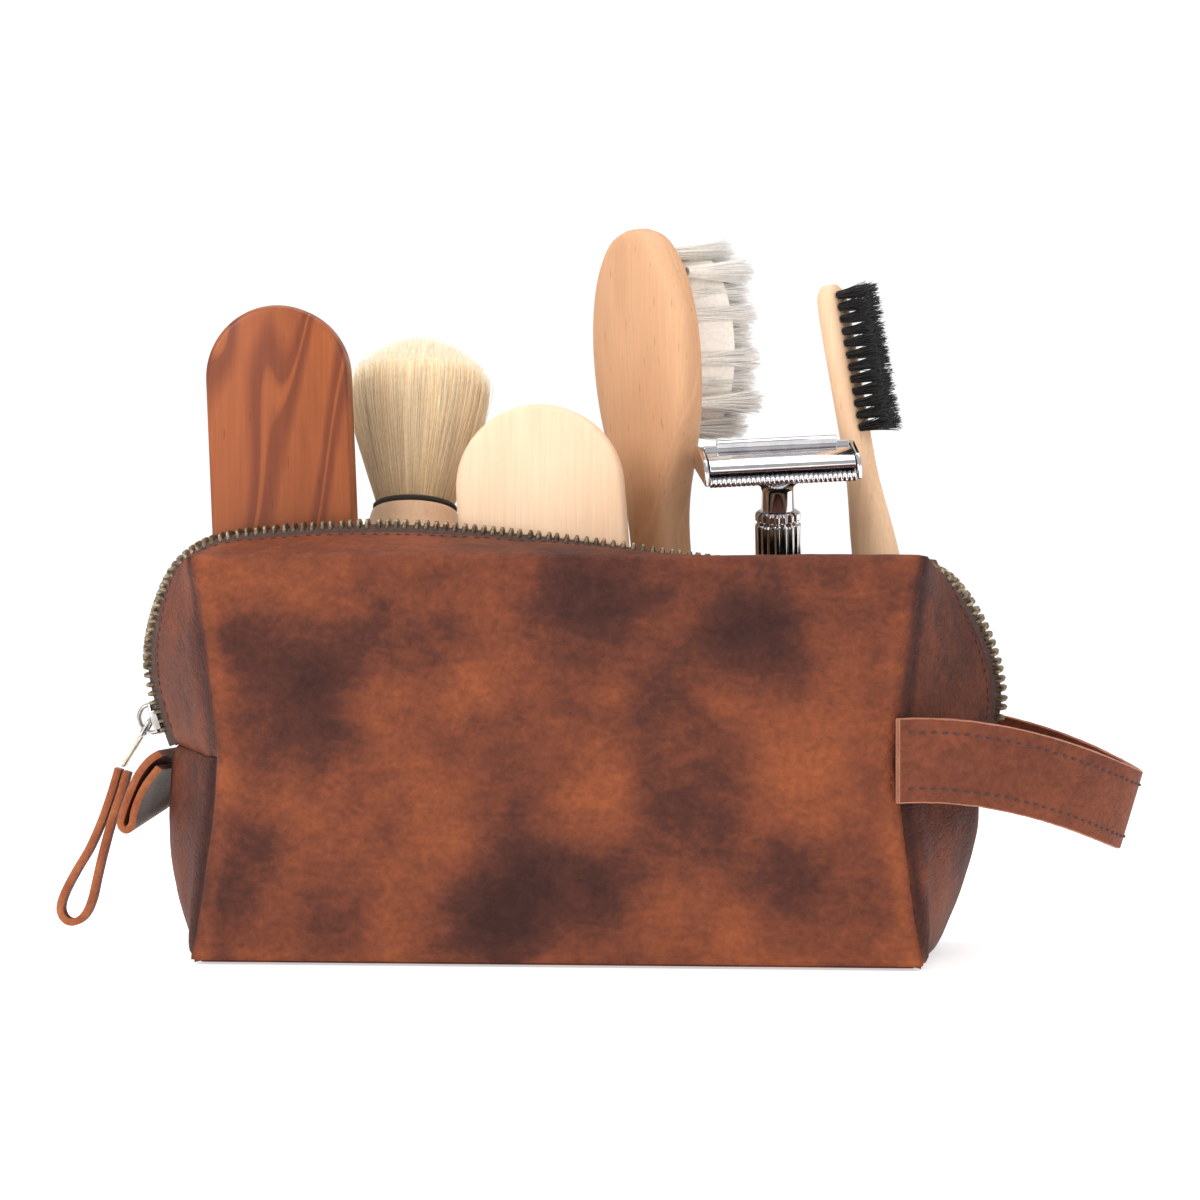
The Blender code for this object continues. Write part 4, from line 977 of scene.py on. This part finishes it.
def build_pull_tab():
    along = (PULL_TIP - PULL_HINGE).normalized()
    lift = Vector((-along.z, 0, along.x))
    length = (PULL_TIP - PULL_HINGE).length
    eye = []
    for k in range(40):
        angle = 2 * math.pi * k / 40
        reach = math.copysign(abs(math.cos(angle)) ** 0.6, math.cos(angle)) * 2.75 + 2.3
        eye.append(PULL_HINGE + along * reach + Vector((0, math.copysign(abs(math.sin(angle)) ** 0.75,
                                                                      math.sin(angle)) * 2.4, 0)))
    tube("pull_tab_eye", eye, 0.62, "nickel", "pull_tab", ("pull_tab",), closed=True)
    rings = []
    for reach, half_width, half_thickness in ((4.7, 1.0, 0.4), (5.2, 1.5, 0.62), (7.0, 1.45, 0.6),
                                              (9.5, 1.75, 0.58), (length - 0.6, 2.3, 0.6),
                                              (length + 0.3, 2.2, 0.55), (length + 0.7, 1.7, 0.3)):
        ring = []
        for k in range(16):
            angle = 2 * math.pi * k / 16
            c, s = math.cos(angle), math.sin(angle)
            sideways = Vector((0, math.copysign(abs(c) ** 0.6, c) * half_width, 0))
            upward = lift * math.copysign(abs(s) ** 0.6, s) * half_thickness
            ring.append(PULL_HINGE + along * reach + sideways + upward)
        rings.append(ring)
    ring_piece("pull_tab_tongue", rings, "pale_metal", "pull_tab")


# ---------------------------------------------------------------- straps and tabs

def band(name, left, right, thickness, outer, inner, body, nodes=(), columns=10, round_off=0.35, wander=0.12):
    """A strap between two edges: its outer face, its inner face and its cut edges have their own looks."""
    half = thickness / 2
    points, faces, second, third = [], [], [], []
    last = len(left) - 1
    section = [(k / columns, half) for k in range(columns + 1)]
    section += [(1.0, half * 0.3), (1.0, -half * 0.3)]
    section += [(1 - k / columns, -half) for k in range(columns + 1)]
    section += [(0.0, -half * 0.3), (0.0, half * 0.3)]
    count = len(section)
    for i, (a, b) in enumerate(zip(left, right)):
        before, after = max(i - 1, 0), min(i + 1, last)
        along = (left[after] + right[after]) - (left[before] + right[before])
        width = (b - a).length
        way = (b - a).normalized()
        lift = along.cross(b - a).normalized()
        fray = wander * noise.noise(a * 0.35)
        for share, out in section:
            inset = round_off if abs(out) == half and share in (0.0, 1.0) else 0.0
            from_left = share * width + (inset if share == 0.0 else -inset)
            from_left += fray * (1 - 2 * share)
            points.append(a + way * from_left + lift * out)
    for i in range(last):
        for k in range(count):
            following = (k + 1) % count
            start = i * count
            faces.append((start + k, start + following, start + count + following, start + count + k))
            if columns + 2 < k < 2 * columns + 3:
                second.append(len(faces) - 1)
            elif not k < columns:
                third.append(len(faces) - 1)
    faces += [tuple(reversed(range(count))), tuple(last * count + k for k in range(count))]
    third += [len(faces) - 2, len(faces) - 1]
    item = add_piece(name, points, faces, outer, body, nodes)
    item.data.materials.append(LOOK[inner])
    item.data.materials.append(LOOK["raw_edge"])
    for index in second:
        item.data.polygons[index].material_index = 1
    for index in third:
        item.data.polygons[index].material_index = 2
    return sharpen(face_out(item), 50)


LACE_PATH = (
    (-127.6, 48.7), (-129.3, 43.0), (-132.0, 35.2), (-135.7, 26.8), (-139.6, 20.3), (-142.9, 14.0),
    (-144.0, 9.6), (-142.6, 6.7), (-140.0, 6.1), (-137.2, 8.0), (-135.2, 12.1), (-133.8, 18.0),
    (-132.2, 24.8), (-129.7, 33.9), (-126.9, 42.2), (-125.2, 47.9),
)
TAB_FRONT_EDGE = (
    (-113.4, 53.4), (-116.6, 51.4), (-119.8, 47.3), (-122.4, 41.6), (-124.3, 36.2), (-124.6, 33.4),
    (-123.1, 32.2), (-121.5, 33.5), (-120.9, 36.8), (-119.7, 40.4), (-117.3, 45.0), (-113.8, 49.4),
)
TAB_REAR_EDGE = (
    (-113.4, 53.4), (-115.4, 50.9), (-117.4, 47.6), (-118.8, 44.2), (-119.7, 41.2), (-119.6, 38.8),
    (-118.1, 37.6), (-116.6, 38.8), (-116.6, 41.2), (-116.0, 44.0), (-114.8, 47.0), (-113.6, 49.4),
)
TAB_HALF_WIDTH = 12.5
HANDLE_WIDTH = 22.0
HANDLE_LAYER = 1.35
HANDLE_HINGE = Vector((94.0, 0.0, 54.0))
HANDLE_HALF_LOOP = ((89.6, 56.6), (95.4, 53.9), (108.0, 48.6), (125.0, 37.8), (138.5, 24.5), (147.2, 10.5),
                    (149.4, 0.0))
HANDLE_DROOP = 16.5


def flat_route(path, y, per_point):
    points = [(x, y, z) for x, z in path]
    return [along_curve(points, k / per_point) for k in range(per_point * (len(points) - 1) + 1)]


def build_lace_and_tab():
    band("lace_loop", flat_route(LACE_PATH, -2.3, 8), flat_route(LACE_PATH, 2.3, 8), 2.0, "lace", "lace",
         "leather_pull", ("leather_pull",), columns=4)
    tab = band("folded_tab", flat_route(TAB_FRONT_EDGE, -TAB_HALF_WIDTH, 8),
               flat_route(TAB_REAR_EDGE, TAB_HALF_WIDTH, 8), 2.1, "strap", "suede", None, ("side_tab",))
    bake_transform(tab)


def handle_line(offset, share):
    """A line round the handle's loop, offset outwards, at a share of its height from -1 to 1."""
    half = [(x, -y, 0.0) for x, y in HANDLE_HALF_LOOP]
    loop = half + [(x, -y, z) for x, y, z in reversed(half[:-1])]
    nose = HANDLE_HALF_LOOP[-1][0] - HANDLE_HINGE.x
    droop = math.radians(HANDLE_DROOP)
    line = []
    steps = 16 * (len(loop) - 1)
    for k in range(steps + 1):
        place = k / 16
        point = along_curve(loop, place)
        along = along_curve(loop, min(place + 0.1, len(loop) - 1)) - along_curve(loop, max(place - 0.1, 0))
        point += Vector((along.y, -along.x, 0)).normalized() * offset
        reach = point.x - HANDLE_HINGE.x
        turn = droop * min(max(reach / nose, 0.0), 1.0)
        centre = Vector((point.x, point.y, HANDLE_HINGE.z - nose * droop * (reach / nose) ** 2 * 0.92))
        line.append(centre + Vector((math.sin(turn), 0, math.cos(turn))) * (share * HANDLE_WIDTH / 2))
    return line


def build_handle():
    offset = (HANDLE_LAYER + 0.3) / 2
    for name, side, outer, inner in (("outer", 1, "strap", "suede"), ("inner", -1, "suede", "strap")):
        upper, lower = handle_line(side * offset, 1.0), handle_line(side * offset, -1.0)
        layer = band(f"handle_{name}_layer", lower, upper, HANDLE_LAYER, outer, inner, None,
                     (f"handle_strap_{name}",), columns=12)
        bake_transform(layer)
    for edge, share in (("top", 0.66), ("bottom", -0.66)):
        for face, reach in (("outside", 1), ("inside", -1)):
            line = handle_line(reach * (offset + HANDLE_LAYER / 2), share)
            spots = []
            for place in even_places(line, 3.1)[1:-1]:
                middle = along_curve(line, place)
                along = (along_curve(line, place + 0.2) - along_curve(line, place - 0.2)).normalized()
                outward = Vector((along.y, -along.x, 0)).normalized() * reach
                spots.append((middle, along, outward))
            thread = stitches(f"handle_stitches_{edge}_{face}", spots, None, length=2.4, radius=0.36)
            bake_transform(thread)


# ---------------------------------------------------------------- tools

TOOL_STANDS = {  # foot, then degrees of lean to the left and to the rear
    "dark_brush": ((-73.0, -18.0, 4.0), 2.4, 0.0),
    "shaving_brush": ((-46.4, -2.6, 71.0), 0.0, 15.0),
    "light_brush": ((2.1, -21.5, 4.4), 4.5, 0.0),
    "hairbrush": ((30.3, 7.0, 3.8), 4.2, 0.0),
    "razor": ((55.6, 12.4, 44.9), 0.0, -15.0),
    "beard_brush": ((93.2, 14.5, 38.2), 9.7, 0.0),
}


def stand(name, turn=0.0):
    """Where a tool stands: its Z runs up the tool."""
    foot, left, rear = TOOL_STANDS[name]
    lean = Matrix.Rotation(-math.radians(left), 4, "Y") @ Matrix.Rotation(-math.radians(rear), 4, "X")
    return Matrix.Translation(foot) @ lean @ Matrix.Rotation(-math.radians(turn), 4, "Z")


def paddle_outline(half_width, length, foot_radius, steps=40):
    outline = []
    for k in range(steps + 1):
        angle = math.pi * k / steps
        outline.append((half_width * math.cos(angle), length - half_width + half_width * math.sin(angle)))
    for centre, start in ((-half_width + foot_radius, math.pi), (half_width - foot_radius, 1.5 * math.pi)):
        for k in range(9):
            angle = start + math.pi / 2 * k / 8
            outline.append((centre + foot_radius * math.cos(angle), foot_radius * (1 + math.sin(angle))))
    return outline


def tufts(centres, hairs, spread, flare, length, levels, curl, face):
    """Hairs in tufts on the (x, z) plane of a brush, standing along +Y from its face."""
    paths = []
    share = np.linspace(0, 1, levels)
    for x, z in centres:
        angle = RANDOM.uniform(0, 2 * math.pi, hairs)
        reach = np.sqrt(RANDOM.uniform(0, 1, hairs))
        bend = RANDOM.normal(0, curl, (hairs, 2))
        tall = length * (1 - 0.10 * RANDOM.uniform(0, 1, hairs) ** 2 - 0.05 * reach ** 2)
        width = spread + (flare - spread) * share[None, :] ** 1.1
        path = np.zeros((hairs, levels, 3))
        path[:, :, 0] = x + (reach * np.cos(angle))[:, None] * width + bend[:, :1] * share ** 2
        path[:, :, 2] = z + (reach * np.sin(angle))[:, None] * width + bend[:, 1:] * share ** 2
        path[:, :, 1] = face + tall[:, None] * share
        paths.append(path)
    return np.concatenate(paths)


def build_paddle(name, half_width, length, wood, bristle):
    """A flat brush whose back is to the front and whose bristles stand to the rear."""
    matrix = stand(name)
    outline = paddle_outline(half_width, length, 8.0)
    rings = []
    for y, inset in ((-5.0, 1.7), (-4.8, 0.95), (-4.2, 0.3), (-3.2, 0.0), (3.4, 0.0), (4.4, 0.35),
                     (5.0, 1.4)):
        ring = []
        for x, z in outline:
            spot = Vector((x, 0, z))
            core = Vector((0, 0, min(max(z, 10.0), length - half_width)))
            ring.append(matrix @ (spot - (spot - core).normalized() * inset + Vector((0, y, 0))))
        rings.append(ring)
    back = ring_piece(f"{name}_wood", rings, wood, name, (f"{name}_back",))
    centres = []
    rows = int((length - 16) / 5.2)
    for j in range(rows):
        for k in range(-4, 5):
            x, z = (k + (0.5 if j % 2 else 0.0)) * 4.4, 9 + j * 5.2
            core = min(max(z, 10.0), length - half_width)
            if math.hypot(x, z - core) < half_width - 5.2:
                centres.append((x, z))
    paths = tufts(centres, 11, 0.7, 1.5, 8.6, 3, 0.25, 5.1)
    strands(f"{name}_hairs", paths, 0.13, bristle, name, (f"{name}_bristles",), matrix,
            along=1)
    return back


def build_shaving_brush():
    matrix = stand("shaving_brush")
    handle = ((10.0, 0.0), (12.2, 1.2), (13.0, 4.0), (12.4, 10.0), (10.8, 17.0), (11.2, 23.0),
              (13.6, 30.0), (14.4, 36.0), (14.0, 42.0), (12.9, 46.5), (11.9, 50.2), (10.6, 51.0))
    turned("shaving_handle", smooth_profile(handle, 5), 64, "pale_beech", "shaving_brush",
           ("shaving_brush_handle",), matrix)
    binding = ((11.2, 51.1), (11.7, 51.4), (11.7, 52.0), (11.2, 52.4))
    turned("shaving_binding", binding, 64, "ferrule", "shaving_brush",
           ("shaving_brush_ferrule",), matrix)

    count, levels = 5200, 8
    root = np.sqrt(RANDOM.uniform(0, 1, count))
    angle = RANDOM.uniform(0, 2 * math.pi, count)
    share = np.linspace(0, 1, levels)
    heights = np.array([52.4, 57.0, 66.0, 76.0, 84.0, 90.0, 95.0, 99.7])
    radii = np.array([10.6, 12.2, 15.4, 18.2, 19.5, 19.3, 18.0, 15.5])
    paths = np.zeros((count, levels, 3))
    top = 99.6 - 10.5 * root ** 2.6 + RANDOM.normal(0, 0.9, count)
    top = np.minimum(top, 100.0)
    stray = RANDOM.normal(0, 0.75, (count, 2))
    for level, part in enumerate(share):
        height = 52.4 + (top - 52.4) * part
        reach = np.interp(height, heights, radii) * root
        paths[:, level, 0] = reach * np.cos(angle) + stray[:, 0] * part ** 2
        paths[:, level, 1] = reach * np.sin(angle) + stray[:, 1] * part ** 2
        paths[:, level, 2] = height
    core = [(radius * 0.95, height - 1.0) for radius, height in zip(radii[:-2], heights[:-2])]
    core += [(14.0, 92.0), (8.0, 95.0), (0.5, 96.2)]
    turned("shaving_hair_core", smooth_profile(core, 3), 48, "cream", "shaving_brush", (),
           matrix)
    strands("shaving_hairs", paths, 0.17, "cream", "shaving_brush",
            ("shaving_brush_knot",), matrix)


def oval_piece(name, stations, look, body, nodes, matrix, sides=48, power=2.4, per_point=4):
    smooth = [along_curve(stations, k / per_point) for k in range(per_point * (len(stations) - 1) + 1)]
    rings = []
    for height, half_width, half_thickness in smooth:
        ring = []
        for k in range(sides):
            angle = 2 * math.pi * (k + 0.5) / sides
            c, s = math.cos(angle), math.sin(angle)
            ring.append(matrix @ Vector((math.copysign(abs(c) ** (2 / power), c) * half_width,
                                         math.copysign(abs(s) ** (2 / power), s) * half_thickness, height)))
        rings.append(ring)
    return ring_piece(name, rings, look, body, nodes)


HAIR_CENTRE = 163.0  # height of the middle of the hair field


def build_hairbrush():
    matrix = stand("hairbrush", 47.0)
    stations = ((0.0, 4.5, 4.0), (1.5, 7.2, 5.6), (8.0, 9.2, 6.4), (40.0, 9.4, 6.8), (80.0, 8.4, 6.8),
                (108.0, 8.2, 6.6), (120.0, 10.2, 6.6), (130.0, 14.4, 6.6), (141.0, 18.2, 6.6),
                (154.0, 20.2, 6.5), (167.0, 20.0, 6.4), (178.0, 17.6, 6.2), (186.0, 13.6, 5.8),
                (191.5, 8.6, 4.8), (194.0, 3.2, 2.2))
    oval_piece("hairbrush_wood", stations, "beech", "hairbrush", ("hairbrush_body",), matrix,
               power=3.2)
    centres = []
    for j in range(9):
        z = HAIR_CENTRE + (j - 4) * 6.0
        for k in range(-3, 4):
            x = (k + (0.5 if j % 2 else 0.0)) * 4.9
            if abs(x / 14.4) ** 3.5 + abs((z - HAIR_CENTRE) / 25.0) ** 3.5 < 1.02:
                centres.append((x, z))
    rings = []
    for out, half_width, half_length in ((6.2, 10.4, 20.6), (12.0, 12.6, 23.2), (20.0, 14.0, 24.6)):
        rings.append([(half_width * math.cos(2 * math.pi * k / 48), out,
                       HAIR_CENTRE + half_length * math.sin(2 * math.pi * k / 48))
                      for k in range(48)])
    ring_piece("hairbrush_hair_core", rings, "white", "hairbrush", (), matrix)
    paths = tufts(centres, 230, 1.3, 3.6, 22.4, 6, 0.35, 6.4)
    strands("hairbrush_hairs", paths, 0.15, "white", "hairbrush", ("hairbrush_bristles",),
            matrix, along=1)


def build_beard_brush():
    matrix = stand("beard_brush", 115.0)
    stations = ((0.0, 4.0, 3.6), (1.5, 5.6, 5.4), (20.0, 6.4, 6.2), (50.0, 6.8, 6.6), (72.0, 6.6, 6.0),
                (91.0, 4.4, 4.4), (104.0, 5.6, 3.6), (120.0, 6.2, 3.4), (136.0, 6.2, 3.4),
                (143.0, 5.2, 3.2), (146.0, 2.6, 1.8))
    oval_piece("beard_brush_wood", stations, "pale_beech", "beard_brush", ("beard_brush_body",),
               matrix)
    centres = [(x, 105.8 + j * 3.35) for j in range(12) for x in (-3.0, 0.0, 3.0)]
    paths = tufts(centres, 80, 1.0, 1.9, 9.5, 5, 0.45, 3.4)
    strands("beard_brush_hairs", paths, 0.16, "black", "beard_brush",
            ("beard_brush_bristles",),
            matrix, along=1)


def extruded(name, outline, half_length, body, nodes, matrix, look="chrome", bevel=0.25,
             segments=1):
    """A (y, z) outline run along x, its edges rounded."""
    rings = []
    for k in range(segments + 1):
        x = half_length * (2 * k / segments - 1)
        rings.append([matrix @ Vector((x, y, z)) for y, z in outline])
    item = ring_piece(name, rings, look, body, nodes)
    round_edges(item, bevel, 35)
    return item


def build_razor():
    matrix = stand("razor", -12.0)
    knob = ((4.4, 0.0), (5.5, 0.4), (5.8, 1.0), (5.8, 9.2), (5.4, 9.9), (4.6, 10.2))
    turned("knob", knob, 120, "chrome", "razor_knob", ("razor_knob",), matrix, 0.45, 30)
    barrel = ((4.4, 10.6), (5.6, 10.9), (6.0, 11.6), (6.3, 72.0), (6.3, 73.4), (5.7, 73.8), (5.7, 74.6),
              (6.2, 75.0), (6.2, 76.6), (5.2, 77.4))
    turned("barrel", barrel, 144, "chrome", "razor", ("razor_barrel",), matrix, 0.6, 18)
    neck = ((4.5, 77.7), (4.5, 83.0), (5.0, 84.5), (7.0, 86.2), (7.0, 86.9))
    turned("neck", neck, 64, "chrome", "razor", ("razor_neck",), matrix)

    base, depth, inside = 87.2, 12.2, 19.65
    rows = 240
    rings = []
    for k in range(rows + 1):
        x = inside * (2 * k / rows - 1)
        notch = 0.5 * (0.5 - 0.5 * math.cos(2 * math.pi * x / 1.3))
        edge = depth - notch
        half = [(edge - 1.0, base), (edge - 0.2, base + 0.5), (edge, base + 1.5), (edge - 0.3, base + 2.2),
                (edge - 1.6, base + 2.9), (8.0, base + 3.0)]
        ring = half + [(-y, z) for y, z in reversed(half)]
        rings.append([matrix @ Vector((x, y, z)) for y, z in ring])
    ring_piece("guard", rings, "chrome", "razor", ("razor_guard_plate",))
    blade_low = base + 3.3
    blade = ((-10.9, blade_low + 0.125), (-10.0, blade_low), (10.0, blade_low), (10.9, blade_low + 0.125),
             (10.0, blade_low + 0.25), (-10.0, blade_low + 0.25))
    extruded("blade", blade, inside - 0.4, "razor", ("razor_blade",), matrix, "blade", 0.02)
    low = blade_low + 0.55
    spine = ((-0.8, low), (0.8, low), (0.8, low + 4.4), (0.4, low + 5.0), (-0.4, low + 5.0),
             (-0.8, low + 4.4))
    extruded("spine", spine, inside, "razor", ("razor_spine",), matrix, bevel=0.12)
    bar = ((-1.5, low + 4.6), (1.5, low + 4.6), (1.2, low + 6.0), (0.6, low + 6.4), (-0.6, low + 6.4),
           (-1.2, low + 6.0))
    extruded("spine_bar", bar, 16.3, "razor", (), matrix, bevel=0.2)
    for name, side in (("front", -1), ("rear", 1)):
        arch = [(side * 1.1, low), (side * 1.1, low + 3.8)]
        for k in range(1, 19):
            angle = math.pi / 2 * k / 18
            arch.append((side * (1.4 + 10.2 * math.sin(angle)), low + 0.9 + 2.9 * math.cos(angle)))
        arch.append((side * 11.4, low))
        extruded(f"door_{name}", arch, inside, f"razor_door_{name}", (f"razor_door_{name}",), matrix,
                 bevel=0.15)
    cap = [(-depth, base + 0.6), (depth, base + 0.6), (depth, base + 4.4), (depth - 3.0, low + 3.2),
           (0.0, low + 4.6), (-depth + 3.0, low + 3.2), (-depth, base + 4.4)]
    for name, side in (("left", -1), ("right", 1)):
        rings = [[matrix @ Vector((x, y, z)) for y, z in cap] for x in (side * 19.95, side * 21.25)]
        item = ring_piece(f"end_cap_{name}", rings, "chrome", "razor", (f"razor_end_cap_{name}",))
        round_edges(item, 0.4, 20)


# Wads of paper: name, centre, half size
PAPER_WADS = (("left", (-41.0, 13.0, 35.6), (17.0, 18.0, 33.8)),
              ("right", (69.0, 15.5, 23.4), (27.5, 20.5, 21.0)))


def build_paper():
    for name, centre, size in PAPER_WADS:
        work = bmesh.new()
        bmesh.ops.create_icosphere(work, subdivisions=6, radius=1.0)
        points = []
        for vertex in work.verts:
            crumple = 0.0
            for octave, (scale, amount) in enumerate(((2.5, 0.06), (5.0, 0.05), (11.0, 0.025))):
                crumple += amount * (abs(noise.noise(vertex.co * scale + Vector((octave * 3, 0, 0)))) - 0.25)
            points.append([c + s * v * (0.96 + crumple) for c, s, v in zip(centre, size, vertex.co)])
        faces = [tuple(vertex.index for vertex in face.verts) for face in work.faces]
        work.free()
        add_piece(f"crumpled_paper_{name}", points, faces, "paper", "root", (f"paper_wad_{name}",))


build_leather_walls()
build_lower_ends()
build_base_and_lining()
build_zip()
build_top_stitches()
build_slider()
build_pull_tab()
build_lace_and_tab()
build_handle()
build_paddle("dark_brush", 19.5, 171.4, "stained", "black")
build_paddle("light_brush", 22.5, 143.9, "birch", "cream")
build_shaving_brush()
build_hairbrush()
build_beard_brush()
build_razor()
build_paper()


# ---------------------------------------------------------------- floor, light and camera

VIEW_TURN = math.radians(6.0)
VIEW_TARGET = Vector((6.4 * math.cos(VIEW_TURN), 6.4 * math.sin(VIEW_TURN), 95.4)) * MM
VIEW_DISTANCE = 1.1
SURROUND_LIGHT = 0.55


def add_stage():
    shade = Shade("pale_floor")
    shade.shader.inputs["Emission Color"].default_value = (1.0, 1.0, 1.0, 1.0)
    shade.shader.inputs["Emission Strength"].default_value = 0.55
    material = shade.finish(shade.mix(shade.noise(3.0), (0.86, 0.86, 0.86), (0.88, 0.88, 0.88)), 0.9)
    mesh = bpy.data.meshes.new("floor")
    mesh.from_pydata([(-6, -6, -0.0005), (6, -6, -0.0005), (6, 6, -0.0005), (-6, 6, -0.0005)], [],
                     [(0, 1, 2, 3)])
    mesh.materials.append(material)
    floor = bpy.data.objects.new("floor", mesh)
    bpy.context.scene.collection.objects.link(floor)


def add_light(name, place, size, power, aim=(0.0, 0.0, 0.09), colour=(1.0, 1.0, 1.0)):
    light = bpy.data.lights.new(name, "AREA")
    light.shape = "RECTANGLE"
    light.size, light.size_y = size
    light.energy = power
    light.color = colour
    item = bpy.data.objects.new(name, light)
    item.location = place
    item.rotation_euler = (Vector(aim) - Vector(place)).to_track_quat("-Z", "Y").to_euler()
    bpy.context.scene.collection.objects.link(item)


def add_camera():
    data = bpy.data.cameras.new("camera")
    data.lens = 120.4
    data.sensor_width = 36.0
    data.clip_start = 0.05
    camera = bpy.data.objects.new("camera", data)
    camera.location = VIEW_TARGET + Vector((math.sin(VIEW_TURN), -math.cos(VIEW_TURN), 0)) * VIEW_DISTANCE
    camera.rotation_euler = (VIEW_TARGET - camera.location).to_track_quat("-Z", "Y").to_euler()
    bpy.context.scene.collection.objects.link(camera)
    bpy.context.scene.camera = camera


def add_world():
    """White surround, seen at full strength and dimmer as a light."""
    world = bpy.data.worlds.new("white_surround")
    world.use_nodes = True
    nodes, links = world.node_tree.nodes, world.node_tree.links
    background = nodes["Background"]
    background.inputs["Color"].default_value = (1.0, 1.0, 1.0, 1.0)
    seen = nodes.new("ShaderNodeLightPath").outputs["Is Camera Ray"]
    strength = nodes.new("ShaderNodeMapRange")
    strength.inputs["To Min"].default_value = SURROUND_LIGHT
    strength.inputs["To Max"].default_value = 1.05
    links.new(seen, strength.inputs["Value"])
    links.new(strength.outputs["Result"], background.inputs["Strength"])
    bpy.context.scene.world = world
    bpy.context.scene.view_settings.view_transform = "Standard"


add_stage()
add_world()
add_light("key_left", (-0.9, -1.1, 0.9), (0.8, 0.8), 13.0)
add_light("fill_right", (1.1, -1.0, 0.7), (1.0, 1.0), 6.0)
add_light("top", (0.0, 0.2, 1.3), (1.2, 1.0), 9.0)
add_camera()
